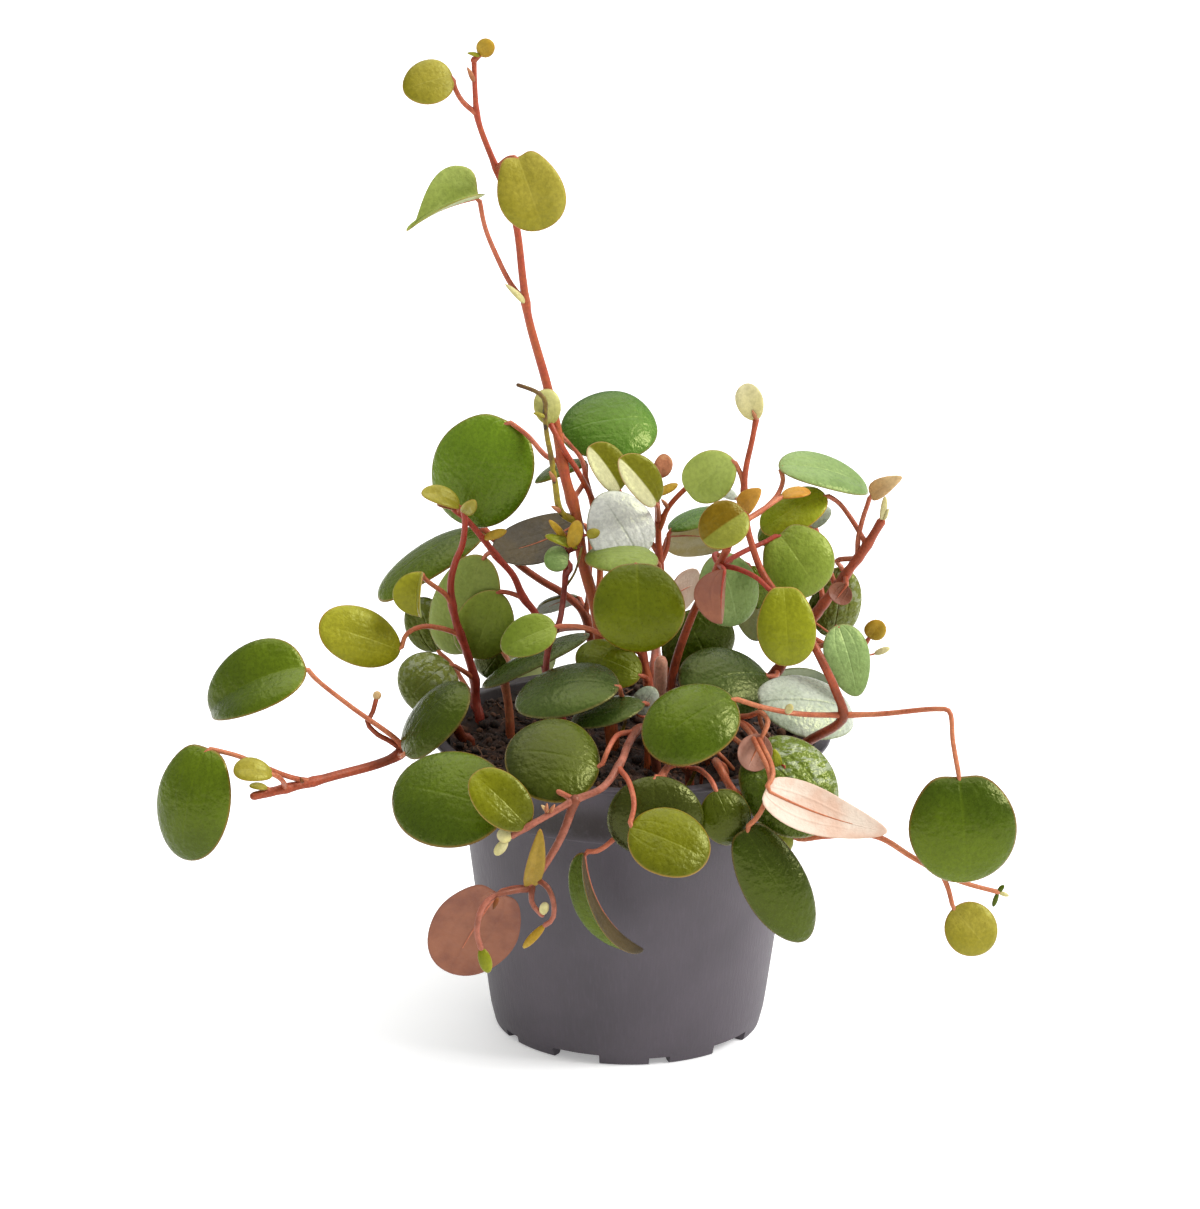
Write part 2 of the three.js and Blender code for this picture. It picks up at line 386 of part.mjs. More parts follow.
    [-0.1, -0.45, -0.88], [0.6, 0, 34, 0.4, 0.02], [[731, 716], [748, 726, 24], [762, 745, 32],
      [773, 774, 38]]],
  ["right_2", "right_front", [763, 735, 30], [747, 770, 33], 5.8, [0.1, 0.1, -1],
    [0.8, 0, 12, 0, 0], [[733, 720], [748, 716, 23], [762, 713, 27], [768, 722, 29]]],
  ["right_3", "right_front", [753, 750, 29.5], [827, 826, 34], 16.4,
    [0.12, 0.3, 0.95], [1.6, 0, 16, 0, 0.02], [[720, 724], [736, 740, 22]]],
  ["low_front_1", "front_low", [654, 776, 38.5], [656, 858, 40], 15.8,
    [0, 0.35, 0.94], [1.6, 0, 16, 0, 0], [[662, 776]]],
  ["low_front_2", "front_low", [716, 790, 37.1], [735, 844, 38.1], 8.6,
    [0.05, 0.3, 0.95], [1.2, 0, 16, 0, 0], [[687, 768], [700, 770, 32.5], [711, 780, 36.2]]],
  ["low_front_3", "front_low", [583, 851, 39], [643, 950, 36], 9.4,
    [-0.82, -0.25, 0.42], [0.3, 42, 55, 0, 0], [[654, 786], [640, 812, 37.2], [615, 838, 38.4],
      [597, 851, 39]]],
  ["hub_5", "hub", [750, 566, 2], [761, 609, 2], 5, [0.3, 0, 1],
    [0.3, 0, 5, 0, 0], [[718, 567], [735, 560, 8]]],
  ["back_4", "back_left", [488, 520, -30], [478, 430, -31], 14, [0, 0.2, -1],
    [1, 0, 14, 0, 0], [[484, 530]]],
  ["back_5", "back_left", [540, 640, -31], [500, 680, -38], 13, [-0.2, 0.5, -0.8],
    [1, 0, 14, 0, 0], [[588, 630], [560, 630, -26]]],
  ["mid_8", "mid_back", [622, 447, -18], [585, 405, -20], 10, [0, 0.3, -0.95],
    [0.8, 0, 14, 0, 0], [[655, 495], [640, 470, -14]]],
  ["mid_9", "mid_back", [642, 615, -20], [620, 572, -27], 13, [-0.2, 0.5, -0.8],
    [1, 0, 14, 0, 0], [[652, 625], [647, 620, -13]]],
  ["wing_13", "right_back", [812, 585, -13], [785, 540, -19], 11, [0.2, 0.4, -0.9],
    [0.9, 0, 14, 0, 0], [[820, 612], [815, 600, -8]]],
  ["wing_14", "right_back", [775, 625, -15], [735, 585, -24], 13, [0.1, 0.5, -0.85],
    [1, 0, 14, 0, 0], [[790, 655], [785, 640, -9]]],
  ["back_a_1", "back_a", [560, 680, -48], [512, 730, -51], 15, [-0.2, 0.3, -0.9],
    [1.3, 0, 18, 0, 0.04], [[582, 668], [570, 672, -46]]],
  ["back_a_2", "back_a", [585, 732, -49], [622, 788, -51], 13, [0.2, 0.25, -0.95],
    [1.2, 0, 16, 0, 0], [[575, 712], [580, 722, -48]]],
  ["back_a_3", "back_a", [556, 745, -48], [505, 788, -50], 13, [-0.2, 0.2, -0.95],
    [1.1, 0, 16, 0, 0.05], [[571, 730], [564, 738, -47]]],
  ["back_a_4", "back_a", [566, 775, -46], [575, 850, -48], 13, [0.05, 0.2, -0.95],
    [1.2, 0, 16, 0, 0], []],
  ["back_b_1", "back_b", [750, 680, -49], [770, 748, -52], 13, [0.2, 0.3, -0.9],
    [1.2, 0, 16, 0, 0.05], [[731, 670], [742, 672, -46]]],
  ["back_b_2", "back_b", [726, 725, -48], [695, 783, -50], 12, [-0.1, 0.25, -0.95],
    [1.2, 0, 16, 0, 0], [[740, 712], [734, 718, -46]]],
  ["back_b_3", "back_b", [748, 784, -44], [738, 858, -46], 14, [0.1, 0.2, -0.95],
    [1.2, 0, 16, 0, 0.04], []],
  ["back_b_4", "back_b", [768, 676, -36], [824, 702, -42], 12, [0.3, 0.5, -0.8],
    [1, 0, 14, 0, 0], [[718, 656], [745, 664, -35]]],
  ["back_c_1", "back_c", [647, 668, -49], [610, 698, -56], 11, [-0.2, 0.3, -0.9],
    [1, 0, 14, 0, 0], [[657, 660], [652, 662, -46]]],
  ["back_c_2", "back_c", [661, 734, -54], [664, 812, -57], 14, [0, 0.2, -0.95],
    [1.3, 0, 16, 0, 0.05], []],
  ["back_c_3", "back_c", [678, 697, -52], [716, 730, -57], 11, [0.2, 0.4, -0.9],
    [0.9, 0, 14, 0, 0], [[660, 692], [669, 693, -51]]],
];

// ---------------------------------------------------------------- places
const VIEW = viewFrame(CAMERA);

function viewFrame(camera) {
  const { elevation, roll } = camera;
  const forward = new THREE.Vector3(0, Math.cos(elevation), -Math.sin(elevation));
  const level = new THREE.Vector3(1, 0, 0);
  const upright = new THREE.Vector3(0, Math.sin(elevation), Math.cos(elevation));
  const right = level.clone().multiplyScalar(Math.cos(roll));
  right.addScaledVector(upright, Math.sin(roll));
  const up = upright.clone().multiplyScalar(Math.cos(roll));
  up.addScaledVector(level, -Math.sin(roll));
  const eye = camera.target.clone().addScaledVector(forward, -camera.distance);
  return { forward, right, up, eye };
}

function placeOf([across, down, front]) {
  const ray = VIEW.forward.clone();
  ray.addScaledVector(VIEW.right, (across - CAMERA.middleAcross) / CAMERA.focalPixels);
  ray.addScaledVector(VIEW.up, (CAMERA.middleDown - down) / CAMERA.focalPixels);
  return VIEW.eye.clone().addScaledVector(ray, (-front - VIEW.eye.y) / ray.y);
}

function pictureOf(place) {
  const offset = place.clone().sub(VIEW.eye);
  const scale = CAMERA.focalPixels / offset.dot(VIEW.forward);
  return [
    CAMERA.middleAcross + scale * offset.dot(VIEW.right),
    CAMERA.middleDown - scale * offset.dot(VIEW.up),
  ];
}

function directionOf([right, up, near]) {
  const direction = VIEW.right.clone().multiplyScalar(right);
  direction.addScaledVector(VIEW.up, up).addScaledVector(VIEW.forward, -near);
  return direction.normalize();
}

// ---------------------------------------------------------------- solids
function solidOf(geometry) {
  const bare = geometry.clone();
  bare.deleteAttribute("normal");
  bare.deleteAttribute("uv");
  const merged = mergeVertices(bare, MERGING_REACH);
  return new wasm.Manifold(new wasm.Mesh({
    numProp: 3,
    vertProperties: new Float32Array(merged.attributes.position.array),
    triVerts: new Uint32Array(merged.index.array),
  }));
}

function geometryOf(points, triangles) {
  const geometry = new THREE.BufferGeometry();
  const flat = points.flatMap((point) => [point.x, point.y, point.z]);
  geometry.setAttribute("position", new THREE.Float32BufferAttribute(flat, 3));
  geometry.setIndex(triangles);
  return geometry;
}

function nodeOf(name, solid, look) {
  const mesh = solid.getMesh();
  const geometry = new THREE.BufferGeometry();
  geometry.setAttribute("position", new THREE.BufferAttribute(mesh.vertProperties, 3));
  geometry.setIndex(new THREE.BufferAttribute(mesh.triVerts, 1));
  geometry.computeVertexNormals();
  const material = new THREE.MeshStandardMaterial({ ...look, metalness: 0 });
  const node = new THREE.Mesh(geometry, material);
  node.name = name;
  return node;
}

// Places spaced out along a smooth curve through the points.
function curveCentres(points, step) {
  const curve = new THREE.CatmullRomCurve3(points, false, "centripetal");
  return curve.getSpacedPoints(Math.max(1, Math.round(curve.getLength() / step)));
}

// A tapering rod through its centres, closed at both ends.
function rodSolid(centres, radiusLow, radiusHigh, sides) {
  const rings = centres.length - 1;
  const vertices = [];
  const triangles = [];
  const tangent = new THREE.Vector3();
  const across = new THREE.Vector3(0, 1, 0);
  for (let ring = 0; ring <= rings; ring += 1) {
    const [before, after] = [centres[Math.max(ring - 1, 0)], centres[Math.min(ring + 1, rings)]];
    tangent.subVectors(after, before).normalize();
    across.addScaledVector(tangent, -across.dot(tangent)).normalize();
    const over = new THREE.Vector3().crossVectors(tangent, across);
    const radius = THREE.MathUtils.lerp(radiusLow, radiusHigh, ring / rings);
    for (let side = 0; side < sides; side += 1) {
      const angle = (2 * Math.PI * side) / sides;
      const vertex = centres[ring].clone();
      vertex.addScaledVector(across, radius * Math.cos(angle));
      vertex.addScaledVector(over, radius * Math.sin(angle));
      vertices.push(vertex);
    }
  }
  for (let ring = 0; ring < rings; ring += 1) {
    for (let side = 0; side < sides; side += 1) {
      const here = ring * sides + side;
      const next = ring * sides + ((side + 1) % sides);
      triangles.push(here, next, next + sides, here, next + sides, here + sides);
    }
  }
  for (let side = 1; side < sides - 1; side += 1) {
    const last = rings * sides;
    triangles.push(0, side + 1, side, last, last + side, last + side + 1);
  }
  return solidOf(geometryOf(vertices, triangles));
}

// ---------------------------------------------------------------- leaves
// The surface half way through a blade. Reach runs from 0 in the middle of the blade to 1 on
// its margin, turn goes round from the stalk over the right side, and lift is a distance
// above that surface.
function bladeSurface(base, tip, width, facing, [dome, halfFold, bend, skew, lobe]) {
  const chord = tip.clone().sub(base);
  const bow = Math.max(THREE.MathUtils.degToRad(bend), LEAST_BOW);
  const length = (chord.length() * (bow / 2)) / Math.sin(bow / 2);
  const curl = bow / length;
  const along = chord.clone().normalize();
  const normal = directionOf(facing);
  normal.addScaledVector(along, -normal.dot(along)).normalize();
  const sideways = new THREE.Vector3().crossVectors(along, normal);
  const fold = THREE.MathUtils.degToRad(halfFold);
  return (reach, turn, lift) => {
    const round = Math.cos(turn);
    const beside = Math.exp(-LOBE_NARROWNESS * wrapped(turn) ** 2);
    const notch = lobe * LOBE_PULL * Math.sin(turn) ** 2 * beside;
    const rimAcross = (width / 2) * Math.sin(turn) * (1 + skew * round);
    const rimAlong = length * ((1 - round) / 2 - notch);
    const across = reach * rimAcross;
    const down = length / 2 + reach * (rimAlong - length / 2);
    const rounded = Math.hypot(across, CREASE_ROUNDING) - CREASE_ROUNDING;
    const crease = Math.sin(fold) * rounded;
    const height = dome * (1 - reach * reach) + crease + lift;
    const angle = curl * down;
    const forwards = Math.sin(angle) / curl + height * Math.sin(angle);
    const upwards = -(1 - Math.cos(angle)) / curl + height * Math.cos(angle);
    const half = bow / 2;
    const place = base.clone();
    place.addScaledVector(sideways, across * Math.cos(fold));
    place.addScaledVector(along, forwards * Math.cos(half) - upwards * Math.sin(half));
    place.addScaledVector(normal, forwards * Math.sin(half) + upwards * Math.cos(half));
    return place;
  };
}

function wrapped(turn) {
  return turn > Math.PI ? turn - 2 * Math.PI : turn;
}

function bladeSolid(surface, width) {
  const [, sides] = BLADE_SIDES.find(([limit]) => width < limit);
  const reaches = width < RINGED_LEAF ? [1] : [1, MIDDLE_RING];
  const vertices = [];
  for (const lift of [LEAF_THICKNESS / 2, -LEAF_THICKNESS / 2]) {
    for (const reach of reaches) {
      for (let side = 0; side < sides; side += 1) {
        vertices.push(surface(reach, (2 * Math.PI * side) / sides, lift));
      }
    }
    vertices.push(surface(0, 0, lift));
  }
  const face = reaches.length * sides + 1;
  const triangles = [];
  for (let side = 0; side < sides; side += 1) {
    const next = (side + 1) % sides;
    for (let ring = 0; ring < reaches.length - 1; ring += 1) {
      const outer = ring * sides;
      const inner = outer + sides;
      faceBothWays(triangles, [outer + side, outer + next, inner + next], face);
      faceBothWays(triangles, [outer + side, inner + next, inner + side], face);
    }
    const innermost = (reaches.length - 1) * sides;
    faceBothWays(triangles, [innermost + side, innermost + next, face - 1], face);
    triangles.push(side, face + side, face + next, side, face + next, next);
  }
  return solidOf(geometryOf(vertices, triangles));
}

function faceBothWays(triangles, [first, second, third], face) {
  triangles.push(first, second, third, first + face, third + face, second + face);
}

// ---------------------------------------------------------------- leafy stems
function soilHeight(x, y) {
  const { across, shift, back, slanting, slantingShare } = SOIL_WAVES;
  const level = Math.sin(across * x + shift) * Math.cos(back * y);
  const bumps = level + slantingShare * Math.sin(slanting * (x - y));
  const dish = SOIL_DISH * (1 - (x * x + y * y) / SOIL_RADIUS ** 2);
  const rise = (SOIL_RISE * y) / SOIL_RADIUS;
  return SOIL_LEVEL - dish + rise + SOIL_ROUGHNESS * bumps;
}

function rootPlace([rightOfAxis, inFront], height) {
  const level = soilHeight(rightOfAxis, -inFront);
  return new THREE.Vector3(rightOfAxis, -inFront, level + height);
}

// The place on a stem that the picture shows nearest to a pixel.
function nearestOnStems(stems, [across, down]) {
  let best = null;
  let bestDistance = Infinity;
  for (const centres of stems) {
    for (let part = 0; part < PLACES_PER_RING * (centres.length - 1); part += 1) {
      const ring = Math.floor(part / PLACES_PER_RING);
      const place = centres[ring].clone();
      place.lerp(centres[ring + 1], part / PLACES_PER_RING - ring);
      const [seenAcross, seenDown] = pictureOf(place);
      const distance = Math.hypot(seenAcross - across, seenDown - down);
      if (distance < bestDistance) {
        best = place;
        bestDistance = distance;
      }
    }
  }
  return best;
}

function leafyStem(name) {
  const stems = [];
  const solids = [];
  for (const [stem, root, [low, high], along] of STEMS) {
    if (stem !== name) continue;
    const places = root ? [rootPlace(root, ROOT_TOP)] : [nearestOnStems(stems, along[0])];
    places.push(...along.slice(root ? 0 : 1).map(placeOf));
    const centres = curveCentres(places, STEM_STEP);
    if (root) centres.unshift(rootPlace(root, -ROOT_DEPTH));
    stems.push(centres);
    solids.push(rodSolid(centres, low, high, STEM_SIDES));
  }
  for (const [, stem, base, tip, width, facing, form, stalk] of LEAVES) {
    if (stem !== name) continue;
    const sessile = stalk.length === 0;
    const start = nearestOnStems(stems, sessile ? base : stalk[0]);
    const foot = sessile ? start : placeOf(base);
    const surface = bladeSurface(foot, placeOf(tip), width, facing, form);
    solids.push(bladeSolid(surface, width));
    if (sessile) continue;
    const places = [start, ...stalk.slice(1).map(placeOf), foot];
    places.push(surface(STALK_REACH, 0, 0));
    const thin = Math.min(STALK_RADIUS, width * STALK_SHARE);
    const centres = curveCentres(places, STALK_STEP);
    solids.push(rodSolid(centres, thin * STALK_FOOT, thin * STALK_TAPER, STALK_SIDES));
  }
  return soundBody(name, wasm.Manifold.union(solids).simplify(SMALLEST_EDGE));
}

// The one body of a fused stem, without the specks that fusing leaves.
function soundBody(name, fused) {
  const [body, ...rest] = fused.decompose().sort((one, other) => other.volume() - one.volume());
  if (rest.some((piece) => piece.volume() > LARGEST_SPECK)) {
    throw new Error(`a piece of ${name} is loose`);
  }
  return body;
}

// ---------------------------------------------------------------- soil
// Rings of the soil from the middle of its top, out to the wall and down it.
function soilRings() {
  const rings = [];
  for (let ring = 1; ring <= SOIL_RINGS; ring += 1) {
    rings.push({ radius: (SOIL_RADIUS * ring) / SOIL_RINGS, level: null });
  }
  for (const level of [SHOULDER_HEIGHT, BODY_TOP_HEIGHT, SOIL_BOTTOM]) {
    rings.push({ radius: radiusAt(POT_INSIDE, level) - SEAT_GAP, level: level + SHOULDER_GAP });
  }
  return rings;
}

function soilSolid() {
  const vertices = [new THREE.Vector3(0, 0, soilHeight(0, 0))];
  const rings = soilRings();
  for (const { radius, level } of rings) {
    for (let side = 0; side < SOIL_SIDES; side += 1) {
      const angle = (2 * Math.PI * side) / SOIL_SIDES;
      const [x, y] = [radius * Math.cos(angle), radius * Math.sin(angle)];
      vertices.push(new THREE.Vector3(x, y, level ?? soilHeight(x, y)));
    }
  }
  const bottom = vertices.length;
  vertices.push(new THREE.Vector3(0, 0, SOIL_BOTTOM + SHOULDER_GAP));
  const triangles = [];
  for (let side = 0; side < SOIL_SIDES; side += 1) {
    const next = (side + 1) % SOIL_SIDES;
    triangles.push(0, 1 + side, 1 + next);
    for (let ring = 0; ring < rings.length - 1; ring += 1) {
      const inner = 1 + ring * SOIL_SIDES;
      const outer = inner + SOIL_SIDES;
      triangles.push(inner + side, outer + side, outer + next);
      triangles.push(inner + side, outer + next, inner + next);
    }
    const last = bottom - SOIL_SIDES;
    triangles.push(last + side, bottom, last + next);
  }
  return solidOf(geometryOf(vertices, triangles)).subtract(stemHoles());
}

function stemHoles() {
  const holes = STEMS.filter(([, root]) => root).map(([, root, [low]]) => {
    const [x, y] = [root[0], -root[1]];
    const depth = ROOT_DEPTH + SEAT_GAP;
    const radius = low + HOLE_CLEARANCE;
    const hole = new THREE.CylinderGeometry(radius, radius, 2 * depth, HOLE_SIDES);
    hole.rotateX(Math.PI / 2).translate(x, y, soilHeight(x, y));
    return solidOf(hole);
  });
  return wasm.Manifold.union(holes);
}

// ---------------------------------------------------------------- pot
function radiusAt(profile, height) {
  const above = Math.max(1, profile.findIndex(([level]) => level >= height));
  const [[lowLevel, lowRadius], [highLevel, highRadius]] = [profile[above - 1], profile[above]];
  return THREE.MathUtils.mapLinear(height, lowLevel, highLevel, lowRadius, highRadius);
}

function potSolid() {
  const lipLow = POT_HEIGHT - LIP_THICKNESS;
  const footInside = FOOT_RADIUS - FOOT_WIDTH;
  const outline = [
    [0, 0],
    [PAD_RADIUS, 0],
    [PAD_RADIUS + PAD_SLOPE, BASE_HEIGHT],
    [footInside - FOOT_SLOPE, BASE_HEIGHT],
    [footInside, 0],
    [FOOT_RADIUS - FOOT_EDGE.width, 0],
    [FOOT_RADIUS, FOOT_EDGE.height],
    [FOOT_RADIUS + FOOT_FLARE.width, FOOT_FLARE.height],
    [BODY_LOW_RADIUS, BODY_LOW_HEIGHT],
    [BODY_TOP_RADIUS, BODY_TOP_HEIGHT],
    [BAND_LOW_RADIUS, BAND_LOW_HEIGHT],
    [BAND_TOP_RADIUS, lipLow],
    [LIP_RADIUS, lipLow + LIP_SLOPE],
    [LIP_RADIUS, POT_HEIGHT],
    ...POT_INSIDE.toReversed().map(([height, radius]) => [radius, height]),
    [0, BASE_HEIGHT + WALL],
  ].map(([radius, height]) => new THREE.Vector2(radius, height));
  const turned = new THREE.LatheGeometry(outline, POT_SIDES);
  turned.rotateX(Math.PI / 2);
  const cuts = [];
  for (let repeat = 0; repeat < FOOT_REPEATS; repeat += 1) {
    const turn = (360 / FOOT_REPEATS) * repeat;
    cuts.push(footGap(WIDE_GAP, turn), footGap(NARROW_GAP, turn), drainSlot(turn));
  }
  return outwardSolid(turned).subtract(wasm.Manifold.union(cuts));
}

function outwardSolid(geometry) {
  const solid = solidOf(geometry);
  if (solid.volume() > 0) return solid;
  const index = geometry.index.array;
  for (let corner = 0; corner < index.length; corner += 3) {
    [index[corner + 1], index[corner + 2]] = [index[corner + 2], index[corner + 1]];
  }
  return solidOf(geometry);
}

// Angles round the pot are measured from its front, towards the viewer's right.
function footGap({ middle, width, height }, turn) {
  const outer = FOOT_RADIUS + CUT_MARGIN;
  const inner = FOOT_RADIUS - FOOT_WIDTH - CUT_MARGIN;
  const half = THREE.MathUtils.degToRad(width / 2);
  const wedge = new THREE.Shape();
  wedge.moveTo(inner * Math.sin(-half), -inner * Math.cos(half));
  wedge.lineTo(outer * Math.sin(-half), -outer * Math.cos(half));
  wedge.lineTo(outer * Math.sin(half), -outer * Math.cos(half));
  wedge.lineTo(inner * Math.sin(half), -inner * Math.cos(half));
  const depth = height + CUT_MARGIN;
  const block = new THREE.ExtrudeGeometry(wedge, { depth, bevelEnabled: false });
  block.translate(0, 0, -CUT_MARGIN).rotateZ(THREE.MathUtils.degToRad(middle + turn));
  return outwardSolid(block);
}

function drainSlot(turn) {
  const { length, width, depth, radius } = DRAIN_SLOT;
  const slot = new THREE.BoxGeometry(length, width, depth);
  slot.translate(0, -radius, BASE_HEIGHT + WALL / 2);
  return solidOf(slot.rotateZ(THREE.MathUtils.degToRad(WIDE_GAP.middle + turn)));
}

// ---------------------------------------------------------------- the potted plant
const LOOKS = {
  pot: { color: "#675f6b", roughness: 0.6 },
  soil: { color: "#2a1d16", roughness: 0.95 },
  stub: { color: "#b98d86", roughness: 0.5 },
  young: { color: "#8f9a3c", roughness: 0.4 },
  mature: { color: "#4d7a35", roughness: 0.4 },
};
const YOUNG_STEMS = ["tall_stem", "left_bow", "left_inner", "dark_sprig"];

function lookOf(name) {
  if (name === "cut_stub") return LOOKS.stub;
  return YOUNG_STEMS.includes(name) ? LOOKS.young : LOOKS.mature;
}

const plant = new THREE.Group();
plant.name = "potted_peperomia";
plant.add(nodeOf("pot", potSolid(), LOOKS.pot));
plant.add(nodeOf("soil", soilSolid(), LOOKS.soil));
for (const name of new Set(STEMS.map(([stem]) => stem))) {
  plant.add(nodeOf(name, leafyStem(name), lookOf(name)));
}

export default plant;
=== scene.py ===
"""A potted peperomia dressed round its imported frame: leaves, stems, soil, pot, floor and light."""

import math

import bpy
import numpy as np
from mathutils import Matrix


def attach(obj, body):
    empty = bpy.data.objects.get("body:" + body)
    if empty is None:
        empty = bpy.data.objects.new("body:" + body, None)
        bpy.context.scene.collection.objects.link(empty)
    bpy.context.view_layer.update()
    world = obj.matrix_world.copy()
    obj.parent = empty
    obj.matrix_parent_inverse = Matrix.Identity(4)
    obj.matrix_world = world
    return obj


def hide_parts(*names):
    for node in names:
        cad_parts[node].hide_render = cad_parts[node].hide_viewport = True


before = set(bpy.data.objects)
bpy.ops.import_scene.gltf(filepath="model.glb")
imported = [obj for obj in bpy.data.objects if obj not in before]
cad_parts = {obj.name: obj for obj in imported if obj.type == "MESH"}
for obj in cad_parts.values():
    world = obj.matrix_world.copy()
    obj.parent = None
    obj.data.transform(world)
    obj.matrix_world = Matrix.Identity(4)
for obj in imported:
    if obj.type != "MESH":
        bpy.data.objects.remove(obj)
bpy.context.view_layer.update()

MM = 0.001

# ------------------------------------------------------------------ sizes, in millimetres
POT_HEIGHT = 53.7
LIP_RADIUS = 35
LIP_THICKNESS = 0.9
BAND_TOP_RADIUS = 33.6
BAND_LOW_RADIUS = 32
BAND_LOW_HEIGHT = 43.3
BODY_TOP_RADIUS = 29.4
BODY_TOP_HEIGHT = 42.6
BODY_LOW_RADIUS = 24.6
BODY_LOW_HEIGHT = 5.9
FOOT_RADIUS = 23.7
FOOT_WIDTH = 2.2
WALL = 0.9
BASE_HEIGHT = 1.75
PAD_RADIUS = 6
FOOT_REPEATS = 5
# Gaps in the foot ring: middle and width in degrees, height.
WIDE_GAP = (-22.5, 21, 1.75)
NARROW_GAP = (13.5, 9, 1.3)
# Length, width and distance from the axis.
DRAIN_SLOT = (7, 3.4, 17.5)
CORNER_RADIUS = 0.45
SHARP_DEGREES = 40
ROUND_SIDES = 200

SOIL_LEVEL = 51.6
SOIL_DISH = 2.2
SOIL_RISE = 1.3
SOIL_ROUGHNESS = 0.45
SOIL_RADIUS = 31.4
SOIL_RINGS = 70
# Radius and height down the side of the soil.
SOIL_WALL = ((30.6, 44.6), (28.1, 42.9), (22.5, 3))
# Waves that the clods are made of: how many, the longest and the shortest.
CLOD_WAVES = (26, 9, 1.6)
CLOD_HEIGHT = 0.45
CRUMBS = 1500
FINE_CRUMB_SHARE = 0.9
FINE_CRUMBS = (0.25, 0.75)
COARSE_CRUMBS = (0.8, 1.3)
FIBRES = 210
FIBRE_LENGTHS = (2, 7)
FIBRE_RADII = (0.06, 0.15)
# How far below the soil a stem starts, and the place above it that the stem goes through.
ROOT_DEPTH = 4
ROOT_TOP = 1.4

LEAF_THICKNESS = 1.1
STALK_RADIUS = 0.48
LOBE_PULL = 15
BROAD_LEAF = 9
SMALL_LEAF = 4
# Waves of a leaf's margin: share of its width, how many go round.
MARGIN_WAVES = ((0.012, 2), (0.010, 3), (0.005, 5))
# How far the margin droops and ruffles, as shares of the width.
DROOP = 0.018
RUFFLE = 0.006
STEM_STEP = 1.0
STALK_STEP = 0.8
STEM_SIDES = 12
STALK_SIDES = 10
FIBRE_SIDES = 5
# Rings of a rod's rounded end: how far out and how wide, as shares of its radius.
ROD_END = ((0.7, 0.7), (0.95, 0.3))
# How far from a leaf's joint its stem swells, and by what share of its radius.
JOINT_REACH = 1.2
JOINT_SWELL = 0.26
# The way a scale looks, and its form.
SCALE_SHAPE = ((0.1, 0.3, 0.95), (0.15, 15, 25, 0.3))
# How much lighter a blade is on its light side, unless its looks say so.
LIGHT_SHARE = 0.6

PLANT_SEEDS = 100
CLOD_SEED = 7
CRUMB_SEED = 21
FIBRE_SEED = 33

# In metres.
FLOOR_HALF = 4
CLIP_RANGE = (0.05, 20)
SKY_STRENGTH = 0.6
# Name, way towards it, spread in degrees, strength.
SOFTBOXES = (("key", (0.8, -0.15, 0.62), 28, 3.2), ("overhead", (0.05, 0.2, 0.95), 70, 2.0))

# ------------------------------------------------------------------ layout
# A place is [across, down, front]: pixels of the picture that this camera takes, 1200 x 1209,
# and millimetres in front of the pot's axis. A place of two numbers lies on its plant's stem.
CAMERA_DISTANCE = 700
CAMERA_ELEVATION = math.radians(16.143)
CAMERA_ROLL = math.radians(0.491)
FOCAL_PIXELS = 4054
SENSOR_WIDTH = 36
PICTURE_HEIGHT = 1209
MIDDLE_ACROSS = 600
MIDDLE_DOWN = 604.5
CAMERA_TARGET = np.array([-5.44, 0, 75.85])

